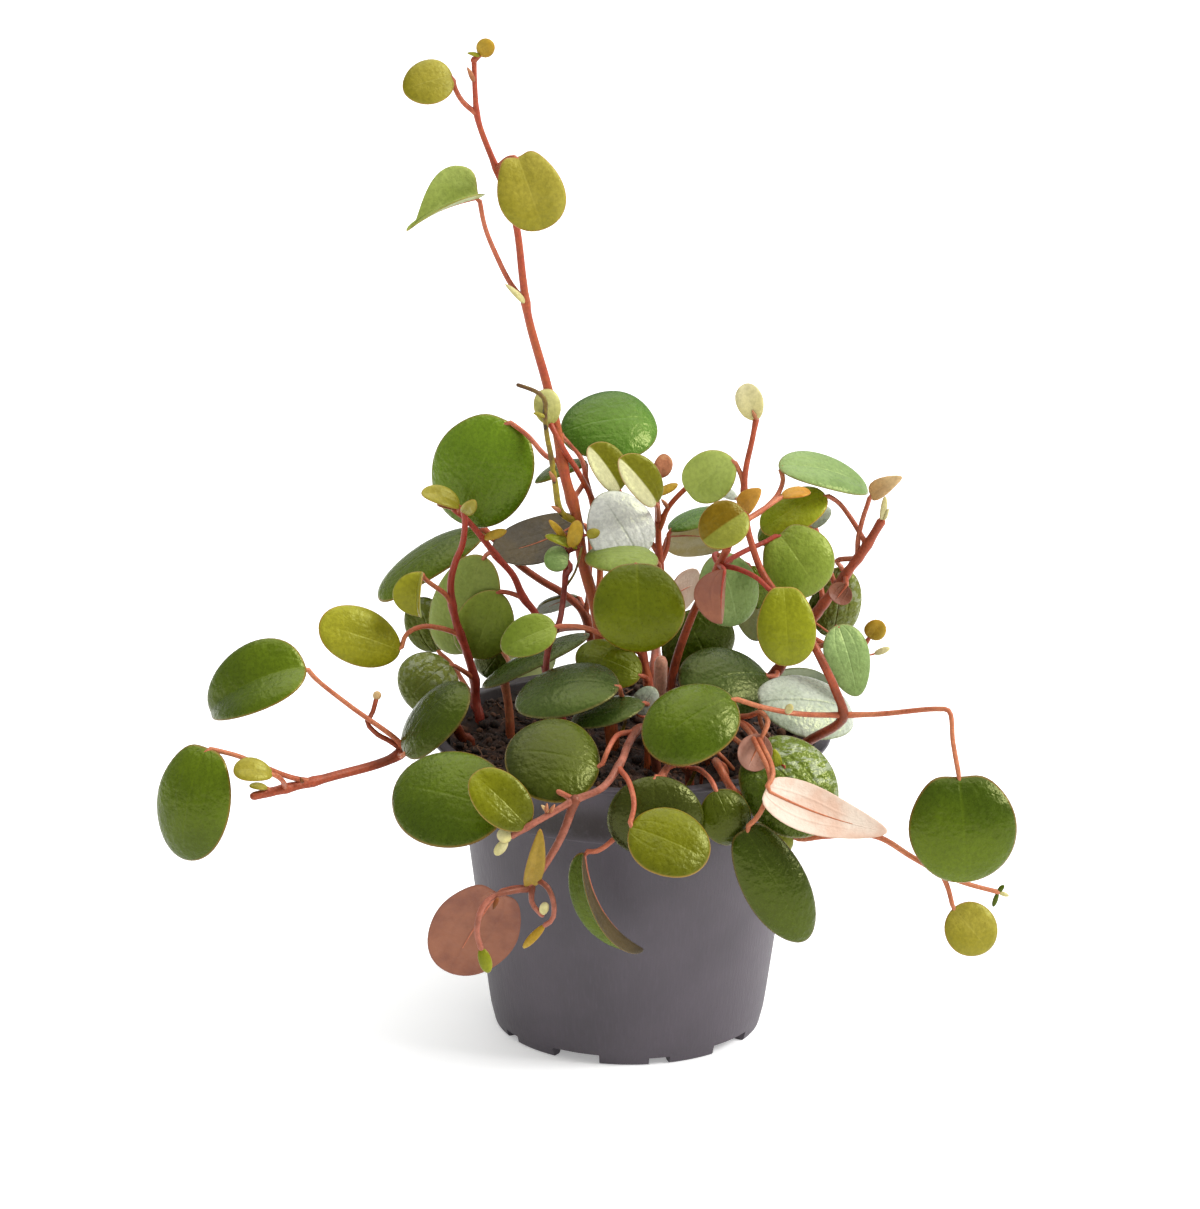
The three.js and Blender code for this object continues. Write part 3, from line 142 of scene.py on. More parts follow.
# Tables are text: a row ends in a semicolon, and its fields are parted by spaces.
# For each plant: the looks of its stems and leaf stalks, its stems and its leaves.
# A stem starts at its root (right of the axis, in front of it), or as a branch or dry spike at a
# place on the stems before it. Its radii at the root and the tip follow, then places along it.
# A leaf is its looks, base, tip, width, the way its upper face looks (right, up, towards the
# viewer), its form (dome, half fold, bend, skew, lobe) and the places of its stalk. Its looks are
# tint/underside/where it is lighter (right, up, strength). An underside left out is pale.
PLANTS = {
    "tall_stem": ("orange rose", """
    -3,0 1.25,0.42 607,700,-1 602,655,-1 596,610,-1 583,562,-1 576,515,-1 565,476,-1 556,425,-1
      547,385,-1 528,316,0 523,280,1 515,220,1 496,168,2 481,130,3 477,115,3 475,90,3 474,60,3;
    spike 0.65,0.35 574,522 561,512,1 555,482,2 551,456,2 547,436,2 545,417,2 545,401,2 540,394,2
      530,389,2 518,385,2;
    branch 0.6,0.45 596,608 600,575,-6 597,530,-7 592,500,-6 578,472,-2.5 566,453,0.4 557,437,0.9
      551,425,0.4;
    """, """
    olive//0.8,0.5,0.6 453,76,2 403,91,4 8 0.05,0.25,0.97 0.5,8,10,0.12 476,116 463,102,3
      455,88,2.4;
    gold/gold 480,56,3 491,40,4 3.2 0.1,0,1 0.3,0,10 474,62;
    meadow 479,197,2 405,231,4 9.4 -0.1,0.72,0.69 0.3,44,30,1.25,0.05 525,305 511,284,0 498,259,1
      485,227,2;
    olive//0.7,0.6,0.6 518,157,6 543,230,8 11.6 0.05,0.1,1 0.5,12,10,-0.05,0.05 497,168 509,158,5;
    butter 549,424,0 543,389,0 4.8 0.2,0.1,1 0.4,10,15,-0.1;
    grass//0.8,-0.5,0.8 560,434,-11.4 657,421,-15.6 14.6 -0.1,0.5,0.85 1.2,0,18,-0.1 593,502
      586,478,-6 582,460,-8 572,446,-9.6;
    fresh//-0.2,1,0.5 507,420,-12 458,523,-12 18 -0.1,0.15,1 1.6,0,14,0,0.015 560,463 546,456,-6
      527,435,-10;
    mid 586,463,-14 535,480,-16 9 0,0.93,0.35 0.6,0,15 572,500 585,480,-8;
    """),
    "left_arm": ("rust salmon", """
    -28,2 0.95,0.75 463,738,3 452,722,5 434,719,7 415,735,8 398,755,9 330,777,16 275,791,21
      254,796,23;
    branch 0.5,0.4 404,750 388,740,10 377,734,11 367,722,11 372,714,10 376,700,9;
    """, """
    mid 306,667,17 210,712,15 14.8 -0.1,0.5,0.85 1.2,25,34,0.2 405,749 398,741,10 350,706,13
      315,678,16;
    mid//0.3,0.8,0.5 206,748,25 184,861,27 13.6 -0.3,0.1,0.95 1.6,0,22,0.08,0.02 315,781
      290,777,20 262,766,23 238,756,24;
    olive 273,774,27 233,771,29 4.8 0,0.5,0.85 0.5,20,25,-0.2 288,785 281,779,25;
    olive 268,788,22 249,786,23 2 0,0.8,0.6 0.2,10,10 272,791;
    dark/grey 404,755,14 467,684,12 12.2 -0.58,0.5,0.65 1.8,0,12 398,754 401,756,12;
    peach/gold 376,701,9 378,691,9 1.5 0,0,1 0.2,0,5;
    """),
    "left_bow": ("crimson salmon", """
    -26.5,-7.5 0.9,0.5 475,703,-8.5 475,682,-8.5 466,650,-8 457,625,-7 452,603,-6 451,580,-5
      456,560,-4.5 462,546,-4 465,520,-3 463,508,-3;
    """, """
    citron//-0.7,0.6,0.5 401,651,-2 319,624,3 10.2 0.05,0.2,1 0.9,6,12,-0.12 458,636 440,628,-6
      420,627,-3.5 406,635,-2.5;
    citron 422,572,-1 420,617,0 10 -0.7,0.1,0.7 0.5,45,12 453,605 446,595,-5 424,578,-2;
    olive 463,516,-2 475,500,1.5 2.8 0.3,0.3,0.9 0.2,25,10;
    pebbled/grey/0.5,0.3,1.0 438,652,-19 417,598,-20 8 -0.1,0.2,1 0.8,0,8 473,700 462,680,-14
      450,662,-18;
    pebbled/grey/0.4,0.9,1.2 451,664,-6 406,704,-4 12.6 -0.2,0.3,0.93 1.2,0,14 474,682 465,672,-7;
    """),
    "left_inner": ("crimson rose", """
    -12,-10 0.85,0.5 548,680,-12 541,640,-12 535,613,-12 524,599,-12 513,575,-11 497,557,-10
      481,536,-9 463,516,-8 454,509,-7;
    """, """
    olive 460,506,-5.6 421,493,-3.6 4.7 -0.1,0.6,0.8 0.4,25,20 457,511;
    rosy/pink 455,511,-6 437,505,-5 2.4 0,0.7,0.7 0.2,20,20;
    gold/gold 488,536,-8 507,531,-7 1.9 0,0.4,0.9 0.2,0,10;
    sage//0,1,0.5 497,591,-12 472,659,-11 10.4 0.1,0.1,1 0.9,6,8,-0.05 522,598 510,593,-12;
    leafgreen 484,556,-14 447,654,-16 12 -0.1,0.15,1 0.9,0,8,-0.05 497,557 492,552,-12;
    """),
    "back_left": ("rust rose", """
    -7,-18 0.85,0.6 592,660,-19 585,615,-20 564,594,-21 542,581,-22 517,563,-23 497,542,-24
      484,530,-25;
    """, """
    mid/grey 486,527,-25 378,597,-22 12.5 -0.35,0.75,0.5 1.2,0,18,-0.05;
    brown/brown 583,522,-21 493,555,-18 13 0.15,-0.75,-0.62 1,0,10 585,615 590,570,-21 589,535,-22;
    dark/grey 579,596,-25 538,612,-26 12 -0.1,0.97,-0.12 0.6,0,10 587,625 584,608,-22;
    dark/grey 488,520,-30 478,430,-31 14 0,0.2,-1 1,0,14 484,530;
    mid 540,640,-31 500,680,-38 13 -0.2,0.5,-0.8 1,0,14 588,630 560,630,-26;
    """),
    "dark_sprig": ("wine wine", """
    -15,6 0.7,0.45 545,690,8 549,645,8 559,623,7 563,600,4 566,570,2 567,548,1 566,535,1;
    """, """
    lime 578,548,2 545,536,4 2.2 0,0.6,0.8 0.2,15,10 566,553;
    gold/gold 563,541,3 549,520,4 1.4 0.1,0.1,1 0.2,20,20;
    gold/gold 571,548,3.4 578,520,3 3 0.2,0,1 0.4,25,10 566,553;
    olive 586,535,3.5 600,532,4 1.9 0,0.3,1 0.2,0,10 567,545 577,538,3;
    teal 569,561,3 544,557,3 4.8 0,0.35,0.93 0.4,0,10 566,578 571,568,3;
    """),
    "low_left": ("salmon salmon", """
    -21,-4 0.85,0.7 509,710,-4 506,690,-4 503,676,-4;
    """, """
    dusk/brown 590,634,-2 482,686,-1 10.6 -0.12,0.94,0.3 0.8,0,8 503,676 515,672,-3;
    dark/grey 502,650,-17 482,676,-19 7 0.1,0.2,1 0.5,0,8 505,684 510,665,-12;
    """),
    "mid_back": ("orange rose", """
    6.1,-6 0.85,0.5 667,680,-6 667,650,-6 665,605,-7 659,555,-8 658,515,-8 656,495,-7;
    branch 0.5,0.45 658,530 668,508,-7.5 684,490,-7 699,478,-6;
    """, """
    halved 620,490,-6 589,446,-5.6 8.1 0.38,0.28,0.88 0.4,28,8 660,556 642,530,-9.4 622,506,-9;
    halved 657,504,1 619,458,2 8.1 0.35,0.3,0.88 0.4,28,8 659,522 658,512,-4;
    rosy/rust 659,478,-10 666,454,-11 3.6 0.2,0,1 0.3,20,10 656,500;
    grass/pink 669,530,-10.5 731,508,-16.5 8.6 -0.1,0.93,0.35 0.5,0,12 658,566 667,548,-9.4;
    cream/cream 668,535,-13 731,541,-18.5 12 0.1,0.75,-0.65 0.6,0,10 658,566 663,552,-10.5;
    rosy/pink 668,600,-14 700,582,-20 9 -0.1,0.55,-0.8 0.6,0,10 652,625 660,612,-10;
    gold/gold 660,492,-8 678,484,-8 1.8 0,0.5,0.8 0.1,0,10;
    dark/grey 684,612,-7 712,672,-7 13.5 0.1,0.15,1 0.8,0,8 667,645 673,620,-7;
    mid 622,447,-18 585,405,-20 10 0,0.3,-0.95 0.8,0,14 655,495 640,470,-14;
    mid 642,615,-20 620,572,-27 13 -0.2,0.5,-0.8 1,0,14 652,625 647,620,-13;
    """),
    "centre": ("orange rose", """
    3.2,8 0.85,0.6 650,706,8 648,682,7.5 643,656,7 631,610,6 617,563,4;
    """, """
    moss//0.1,-1,0.5 637,563,11 640,653,16 15.6 0,0.12,1 1.2,5,10,0,0.01 620,575 629,575,7;
    leafgreen 659,561,3 585,557,3 11 -0.05,0.88,0.48 1,0,10 633,615 648,600,3 659,580,2;
    frost 640,560,0.4 599,494,-1.1 12 0.1,0.35,0.93 0.6,0,8,0.15 622,580 638,572,2.4;
    sage 556,626,13 502,650,14 7.8 -0.1,0.35,0.93 0.5,18,10,0.1 642,652 610,638,10 582,627,12;
    moss/grey 641,676,11 576,652,8 9 0.25,0.35,0.9 0.9,0,10 648,682 645,677,9.5;
    dusk/grey 619,686,20 515,698,15 14.5 0.02,0.78,0.62 1.2,0,14 649,704 638,709,9 624,699,13;
    dusk/grey 644,703,17 571,722,18 9.4 0.15,0.88,0.42 0.7,0,10 649,702 648,704,12;
    silver 636,713,12 655,688,12 4.4 0.1,0.1,1 0.3,10,10 650,708 644,716,10;
    """),
    "hub": ("rust crimson", """
    6.5,3 0.9,0.6 671,688,4 676,661,5 695,609,9 711,580,13 718,567,15 727,549,17;
    """, """
    parted 746,511,21 702,541,23 8.4 -0.15,0.1,1 0.5,20,8 727,549 742,528,19;
    rosy/rust 724,569,21 721,624,22 9.6 -0.7,0.1,-0.7 0.5,40,10,0.1 718,567;
    teal 718,553,10 738,626,9 10.5 0.15,0.15,1 0.9,0,10,-0.05 718,567 714,556,13;
    sage 779,534,10 818,592,13 12.6 0.1,0.1,1 0.9,5,14,-0.05,0.04 718,567 745,551,13 767,541,11;
    lime 784,587,24 788,667,27 10 0.05,0.05,1 0.7,10,10,-0.05,0.02 718,567 738,569,18.5
      757,578,21.5 774,592,23.4;
    mid/grey 750,566,2 761,609,2 5 0.3,0,1 0.3,0,5 718,567 735,560,8;
    """),
    "front_left": ("mauve rose", """
    4.5,12 0.85,0.5 648,733,18 639,728,23 628,745,30 620,764,36 602,788,40 575,800,42 545,817,44
      527,827,45 512,836,45;
    branch 0.75,0.55 577,800 562,835,43 545,865,43 529,888,43;
    branch 0.6,0.45 530,887 503,893,46 488,900,47 480,913,48 477,933,48 481,948,48;
    branch 0.5,0.4 531,885 532,903,44 542,915,44;
    branch 0.5,0.4 537,876 548,888,45 554,906,45 552,920,45 545,925,45;
    """, """
    deepmoss//0.9,0.3,0.8 601,768,34 505,753,33 16.5 -0.1,0.6,0.8 1.2,0,10 636,731 618,735,29
      608,750,33;
    olivine//-0.8,0.7,0.9 527,822,46 473,774,43 9 0.1,0.3,0.95 0.6,14,10;
    olivine//-0.3,1,0.6 629,827,47 708,861,50 11.9 0.1,0.4,0.9 0.8,6,12 618,767 629,782,41
      634,806,45;
    cream 511,836,45 497,835,46 2.6 0,0.2,1 0.3,0,15;
    cream 507,840,45 495,855,45 1.8 0,0,1 0.2,0,10 512,836;
    mid//0.3,1,0.9 508,813,34 393,786,26 17.6 -0.15,0.45,0.88 1.3,0,12 575,800 550,790,38
      525,798,36;
    bronze/gold 529,887,44 540,829,46 3.7 0.3,0.05,0.95 0.3,30,14,0.35;
    mid/rust 498,892,42 449,972,40 14.6 -0.2,0.1,-0.97 1,0,10,0,0.04 531,887 515,888,43;
    lime 481,947,48 489,973,48 2.2 0,0,1 0.2,0,10;
    cream 542,915,44 546,902,45 1.6 0,0,1 0.2,0,10;
    gold/rust 545,925,45 523,948,44 1.5 0,0.2,1 0.2,0,20;
    """),
    "right_arch": ("rust salmon", """
    23.5,10 0.95,0.45 785,754,13 812,739,20 843,717,25 835,689,26 822,661,26 812,642,25 792,612,22
      775,592,20 761,570,18 752,545,17 746,522,16 744,492,15 746,468,14 752,441,13 756,420,12;
    """, """
    cream 757,416,12 744,384,12 4.8 -0.1,0,1 0.4,15,8,-0.1;
    cream/gold 757,417,12 762,400,12 1.4 0.8,0,0.6 0.1,0,5;
    meadow 733,459,13 688,494,11 9 0,0.15,1 0.5,16,10 744,491 742,478,14 738,468,13.5;
    amber/rust 741,511,17.7 761,489,18.4 4.2 -0.3,0.4,0.85 0.2,20,10,0.4 746,514;
    mid//-0.4,-1,0.9 959,776,33 966,883,35 18 0,0.12,1 1.8,3,14,0,0.03 843,717 880,714,26
      938,709,29.5 949,711,30.5 953,742,32;
    mid/grey 733,698,29 648,752,35 14.5 -0.1,0.45,0.88 1.5,0,16,0.02 843,717 800,714,27 762,707,29;
    amber/rust 781,497,10 811,492,9 3.2 -0.05,0.75,0.65 0.3,20,10 746,522 765,508,13;
    teal 779,466,3 868,489,-2 10.2 -0.1,0.74,0.67 0.6,10,16,0.05 746,522 764,509,8 778,494,5
      783,479,3.4;
    silver/grey 761,703,15 854,713,8 13.6 0.05,0.6,0.8 1.2,0,12,0,0.02 785,757 770,740,14
      760,718,15;
    cream 787,714,29 791,704,30 1.4 0,0,1 0.1,0,5 843,717 800,714,27 792,713,28;
    silver/grey 737,499,9 715,486,7 2.2 0,0.5,0.85 0.2,0,5 744,496;
    """),
    "right_back": ("rust rose", """
    18,-6 0.95,0.75 755,693,-5 780,667,-4 803,632,-2 824,603,0 836,588,1 849,570,2 864,550,3
      881,522,4;
    """, """
    peach/rust 870,496,6 902,477,8 3.8 -0.25,0.2,0.95 0.2,32,12,0.4 857,560 858,540,2 863,518,3
      868,503,5;
    spring 826,495,2 762,531,4 8.6 -0.05,0.55,0.83 0.6,8,12 858,540,2 852,520,1 840,504,0
      832,498,1;
    pebbled/grey 842,568,-6 831,638,-8 9 0.15,0.2,0.97 0.9,0,10 860,563 838,560,-1;
    teal 838,625,8 857,697,10 8 0.2,0.1,0.95 0.7,8,12,0.25 803,632 818,646,1 829,641,4;
    rosy/rust 847,585,5 834,602,6 4.4 -0.1,-0.2,-0.95 0.5,0,40 846,574;
    mid/grey 812,520,-8 757,535,-12 8 -0.05,0.6,0.8 0.5,0,8 824,603 818,560,-5 818,535,-7;
    silver/grey 811,527,-3 827,506,-5 5 -0.5,0.6,0.6 0.3,0,8 836,588 822,550,-3;
    gold/gold 869,638,3 882,621,4 4 0.1,0.1,1 0.2,18,10 803,632 840,650,-1 863,646,2;
    cream 874,654,2 890,648,2 1.2 0,0.4,1 0.1,0,10 855,650,1 865,655,2;
    cream 882,521,4 885,496,5 1.2 0.2,0,1 0.1,0,40;
    dusk/grey 768,676,0 682,690,8 15 0.1,0.55,0.83 1.4,0,12 782,675 776,676,-1;
    dark/grey 821,590,-2 813,622,-3 3.4 0.3,0,1 0.2,0,5 824,603;
    mid 812,585,-13 785,540,-19 11 0.2,0.4,-0.9 0.9,0,14 820,612 815,600,-8;
    mid 775,625,-15 735,585,-24 13 0.1,0.5,-0.85 1,0,14 790,655 785,640,-9;
    """),
    "low_right": ("salmon salmon", """
    16,17 0.8,0.4 718,764,23 716,762,29 721,770,32.8 733,790,33 753,803,31.8 772,814,30.5
      787,829,30.5 798,838,31 824,836,31.5 875,836,31 912,857,31 942,874,31 968,884,31 998,892,31;
    """, """
    olive 953,908,32 989,951,33 9 0.05,0.15,1 0.5,5,8,0.05 940,874 948,888,31;
    mid 998,892,31 1004,885,31 0.9 0,0,1 0.1,0,5;
    cream 999,893,31 1009,896,31 0.8 0,0,1 0.1,0,5;
    mid 996,894,31 993,907,31 0.9 0,0,1 0.1,0,5;
    lime 773,829,32.8 787,854,31.8 4.6 0,0.2,1 0.4,0,8 787,833 780,827,32.2;
    """),
    "right_front": ("salmon salmon", """
    13,10 0.9,0.6 712,740,14 722,722,17 733,716,20;
    branch 0.45,0.35 711,745 719,754,16.5 727,762,15.5 733,769,15;
    """, """
    dark//-0.2,-0.8,0.5 745,829,39.5 805,941,40 11 0.05,0.15,1 1.2,0,14,0.05,0.02 731,716
      746,728,25.5 758,748,33 770,777,37.8 767,797,38.4 758,816,39.6;
    blush/blush 765,790,40 887,832,45 8.2 -0.1,-0.45,-0.88 0.6,0,34,0.4,0.02 731,716 748,726,24
      762,745,32 773,774,38;
    rosy/rose 763,735,30 747,770,33 5.8 0.1,0.1,-1 0.8,0,12 733,720 748,716,23 762,713,27
      768,722,29;
    quilted//0.5,0.9,1.2 753,750,29.5 827,826,34 16.4 0.12,0.3,0.95 1.6,0,16,0,0.02 720,724
      736,740,22;
    """),
    "front_low": ("rose rose", """
    10,20 0.8,0.6 686,768,25 676,764,30.5 667,768,34.5 661,778,36.5 654,788,37;
    """, """
    night/grey 654,776,38.5 656,858,40 15.8 0,0.35,0.94 1.6,0,16 662,776;
    deepmoss 716,790,37.1 735,844,38.1 8.6 0.05,0.3,0.95 1.2,0,16 687,768 700,770,32.5
      711,780,36.2;
    mid/brown 583,851,39 643,950,36 9.4 -0.82,-0.25,0.42 0.3,42,55 654,786 640,812,37.2
      615,838,38.4 597,851,39;
    """),
    "cut_stub": ("stub stub", """
    5.3,-1 1.25,1.15 660,700,-1 661,662,-1;
    """, ""),
    "back_a": ("rust rose", """
    -5,-22 0.9,0.6 597,672,-27 591,650,-35 585,655,-41 579,680,-45 572,725,-46 566,770,-45;
    """, """
    dark 560,680,-48 512,730,-51 15 -0.2,0.3,-0.9 1.3,0,18,0,0.04 582,668 570,672,-46;
    mid 585,732,-49 622,788,-51 13 0.2,0.25,-0.95 1.2,0,16 575,712 580,722,-48;
    mid 556,745,-48 505,788,-50 13 -0.2,0.2,-0.95 1.1,0,16,0,0.05 571,730 564,738,-47;
    lime 566,775,-46 575,850,-48 13 0.05,0.2,-0.95 1.2,0,16;
    """),
    "back_b": ("rust rose", """
    12.4,-21 0.9,0.6 710,666,-25.5 720,650,-34 728,656,-40 736,690,-44 742,735,-45 746,780,-43;
    """, """
    mid 750,680,-49 770,748,-52 13 0.2,0.3,-0.9 1.2,0,16,0,0.05 731,670 742,672,-46;
    dark 726,725,-48 695,783,-50 12 -0.1,0.25,-0.95 1.2,0,16 740,712 734,718,-46;
    mid 748,784,-44 738,858,-46 14 0.1,0.2,-0.95 1.2,0,16,0,0.04;
    dark/grey 768,676,-36 824,702,-42 12 0.3,0.5,-0.8 1,0,14 718,656 745,664,-35;
    """),
    "back_c": ("rust rose", """
    4,-26 0.85,0.6 655,655,-31 656,645,-37 657,652,-42 659,680,-48 661,730,-53;
    """, """
    mid 647,668,-49 610,698,-56 11 -0.2,0.3,-0.9 1,0,14 657,660 652,662,-46;
    lime 661,734,-54 664,812,-57 14 0,0.2,-0.95 1.3,0,16,0,0.05;
    dark 678,697,-52 716,730,-57 11 0.2,0.4,-0.9 0.9,0,14 660,692 669,693,-51;
    """),
}
# Small scales and buds beside the leaves: plant, tint, base, tip, width.
SCALES = """
    tall_stem cream 525,303,1.2 505,284,2 1.2;
    tall_stem rosy 474,82,4 467,67,4.5 0.9;
    tall_stem citron 480,56,3.4 467,53,3.6 0.8;
    tall_stem olive 545,417,2.6 533,413,3.2 0.8;
    tall_stem rosy 555,482,2.8 549,471,3.4 0.8;
    tall_stem rosy 561,512,1.6 551,506,2.4 0.9;
    mid_back rosy 668,508,-6.6 661,499,-6.2 0.8;
    front_left peach 549,813,43.6 541,805,44.2 0.8;
    front_left rosy 550,813,43.8 555,804,44.4 0.7;
    front_left rosy 546,813,44 547,803,44.6 0.7;
    front_left rust_bud 498,897,47.2 493,910,47.4 0.8;
    left_arm rust_bud 303,783,20 300,777,20.4 0.7;
    right_front lime 779,768,32 774,749,32.6 1.6;
    right_arch rosy 756,420,12.6 752,410,13 0.7;
    right_back cream 884,520,4.6 889,508,5 0.7;
"""
# Thin twigs and dead stalk ends: plant, look, radius, places along it.
TWIGS = """
    right_front crimson 0.2 779,768,32 784,764,32.4 784,772,32.6 778,776,32.4;
    front_low straw 0.34 686,790,25 693,776,25.5 698,762,26;
    front_low rust 0.3 702,796,24 701,782,24.5 703,770,25;
    centre straw 0.3 621,735,9 625,722,9.5 627,708,9;
    dark_sprig straw 0.22 567,585,2 575,572,2.6 582,547,3.2;
"""

# ------------------------------------------------------------------ colours
# Tints of the upper face: name, deep, light and margin colour, roughness and quilting.
# deepmoss, olivine and night are painted shade: darker tints for the leaves at the front, which get
# less light.
# silver and frost are painted glare: their grey-white colours stand in for the lamps' reflection on
# those leaves.
TINTS = """
    gold 176,128,16 212,176,66 212,128,66 0.4,0.2;
    peach 216,162,102 244,210,156 206,116,70 0.4,0.2;
    olive 142,132,16 188,174,72 196,132,72 0.36,0.3;
    lime 112,116,0 160,164,30 198,140,66 0.34,0.3;
    butter 168,164,60 226,222,150 210,148,90 0.36,0.3;
    moss 76,88,0 124,134,4 164,118,48 0.32,0.4;
    sage 104,126,26 150,168,66 172,126,68 0.32,0.4;
    grass 54,94,8 100,144,48 140,126,60 0.26,0.45;
    fresh 76,108,6 120,152,34 150,120,54 0.27,0.8;
    mid 54,76,0 100,122,12 164,108,56 0.28,0.45;
    dark 40,56,2 74,92,14 120,90,48 0.24,0.6;
    dusk 46,64,14 80,100,42 124,104,62 0.28,0.4;
    teal 110,140,70 172,200,128 160,144,88 0.32,0.6;
    rosy 160,84,54 214,140,106 160,76,52 0.38,0.2;
    silver 168,182,154 230,234,222 140,148,104 0.28,0.9;
    cream 216,204,128 242,232,182 214,170,116 0.42,0.1;
    rust_bud 104,44,26 150,74,44 120,54,34 0.4,0.1;
    blush 214,168,134 236,210,184 210,146,106 0.42,0.2;
    brown 56,44,0 84,68,8 156,152,84 0.32,0.3;
    amber 204,134,20 232,172,76 196,96,48 0.38,0.2;
    spring 122,142,2 178,182,40 222,154,58 0.3,0.3;
    parted 124,94,0 150,152,56 196,130,60 0.34,0.3;
    frost 230,232,220 254,254,250 150,160,110 0.26,0.9;
    bronze 142,110,22 186,152,66 190,116,60 0.4,0.2;
    citron 136,134,4 184,180,50 198,140,66 0.34,0.3;
    meadow 156,174,66 190,206,110 186,140,84 0.34,0.3;
    olivine 78,82,0 134,136,8 190,136,64 0.3,0.4;
    deepmoss 36,46,0 80,92,0 150,120,44 0.3,0.5;
    night 26,32,0 60,68,10 96,100,40 0.24,0.5;
    pebbled 74,86,24 128,138,56 128,106,56 0.2,1.6;
    halved 128,126,22 216,212,160 206,140,84 0.34,0.3;
    quilted 58,78,4 112,132,44 150,140,84 0.22,2.2;
    leafgreen 128,148,58 166,184,96 176,134,76 0.34,0.3;
"""
# Darker midribs through the painted glare of the silver and frost leaves.
RIBS = {"silver": (70, 92, 60), "frost": (40, 70, 36)}
# Tints whose light colour is on the left of the midrib, seen from the base. On halved this is
# painted light: the half of the folded blade that catches the light is painted lighter.
PARTED = ("halved", "parted")
# Painted glare: silvery highlights painted between the veins of wrinkled leaves, on their lighter
# side: [share, scale along three axes].
PAINTED_GLARE = {"quilted": (0.4, (500, 500, 1300)), "pebbled": (0.34, (900, 900, 900))}
# Undersides of leaves: name, deep and light colour. cream is painted light: its near-white colour
# stands in for light shining through the thin leaf.
UNDERSIDES = """
    pale 152,166,78 190,198,116;
    gold 186,136,46 214,176,88;
    grey 100,114,66 136,148,98;
    pink 226,184,156 246,220,196;
    brown 64,48,0 88,68,6;
    rose 160,98,72 212,154,128;
    rust 138,72,42 168,100,64;
    cream 232,218,140 252,246,200;
    blush 244,202,174 255,234,212;
"""
# Rods: name, colour at the root and at the tip.
RODS = """
    orange 196,98,48 188,76,50;
    crimson 156,50,34 182,62,44;
    wine 96,32,28 150,54,44;
    salmon 194,98,62 220,134,92;
    rose 190,90,60 216,124,90;
    mauve 136,70,48 190,112,90;
    rust 136,58,30 184,82,50;
    straw 176,158,40 96,66,34;
    stub 255,156,124 255,190,160;
"""
ALBEDO_SHARE = 0.6


# ------------------------------------------------------------------ tables
def fields(table):
    """The rows of a table, each split into its fields."""
    return [row.split() for row in table.split(";") if row.strip()]


def numbers(field):
    return [float(number) for number in field.split(",")]


def named(table):
    """The rows of a table of colours by their names."""
    return {name: [numbers(field) for field in rest] for name, *rest in fields(table)}


# ------------------------------------------------------------------ places
def view_axes():
    """Right, up and forward of the camera, and its eye in millimetres."""
    rise, dip = math.sin(CAMERA_ELEVATION), math.cos(CAMERA_ELEVATION)
    forward = np.array([0, dip, -rise])
    level = np.array([1.0, 0, 0])
    upright = np.array([0, rise, dip])
    right = level * math.cos(CAMERA_ROLL) + upright * math.sin(CAMERA_ROLL)
    up = upright * math.cos(CAMERA_ROLL) - level * math.sin(CAMERA_ROLL)
    return right, up, forward, CAMERA_TARGET - forward * CAMERA_DISTANCE


RIGHT, UP, FORWARD, EYE = view_axes()


def place_of(place):
    """The point in millimetres that a place of three numbers stands for."""
    across, down, front = place
    ray = FORWARD + RIGHT * ((across - MIDDLE_ACROSS) / FOCAL_PIXELS)
    ray = ray + UP * ((MIDDLE_DOWN - down) / FOCAL_PIXELS)
    return EYE + ray * ((-front - EYE[1]) / ray[1])


def picture_of(points):
    """Pixels at which the camera sees points."""
    offset = points - EYE
    scale = FOCAL_PIXELS / (offset @ FORWARD)
    return np.stack(
        [MIDDLE_ACROSS + scale * (offset @ RIGHT), MIDDLE_DOWN - scale * (offset @ UP)], -1
    )


def unit(vector):
    return vector / np.linalg.norm(vector)


def direction_of(facing):
    right, up, near = facing
    return unit(RIGHT * right + UP * up - FORWARD * near)


UPWARDS = direction_of((0, 1, 0))


def smooth_path(points, step):
    """Places spaced evenly along a centripetal curve through the points."""
    points = np.array(points, float)
    before = 2 * points[0] - points[1]
    after = 2 * points[-1] - points[-2]
    knots = np.vstack([before, points, after])
    fine = []
    share = np.linspace(0, 1, 24, endpoint=False)[:, None]
    for first, start, end, last in zip(knots, knots[1:], knots[2:], knots[3:]):
        gap0, gap1, gap2 = (
            max(float(np.linalg.norm(b - a)) ** 0.5, 1e-4)
            for a, b in ((first, start), (start, end), (end, last))
        )
        leave = (start - first) / gap0 - (end - first) / (gap0 + gap1) + (end - start) / gap1
        arrive = (end - start) / gap1 - (last - start) / (gap1 + gap2) + (last - end) / gap2
        leave, arrive = leave * gap1, arrive * gap1
        square, cube = share**2, share**3
        fine.append(
            start * (2 * cube - 3 * square + 1)
            + leave * (cube - 2 * square + share)
            + end * (3 * square - 2 * cube)
            + arrive * (cube - square)
        )
    fine = np.vstack([*fine, points[-1:]])
    run = np.concatenate([[0], np.cumsum(np.linalg.norm(np.diff(fine, axis=0), axis=1))])
    count = max(2, int(round(run[-1] / step)) + 1)
    wanted = np.linspace(0, run[-1], count)
    return np.stack([np.interp(wanted, run, fine[:, axis]) for axis in range(3)], 1)


def soil_height(x, y):
    bumps = np.sin(0.55 * x + 1.3) * np.cos(0.48 * y) + 0.6 * np.sin(0.31 * (x - y))
    dish = SOIL_DISH * (1 - (x * x + y * y) / SOIL_RADIUS**2)
    return SOIL_LEVEL - dish + SOIL_RISE * y / SOIL_RADIUS + SOIL_ROUGHNESS * bumps


def nearest_on(paths, pixel):
    """The place on a plant's stems that the camera sees nearest to a pixel."""
    points = np.vstack(paths)
    miss = np.linalg.norm(picture_of(points) - np.array(pixel[:2]), axis=1)
    return points[int(np.argmin(miss))]


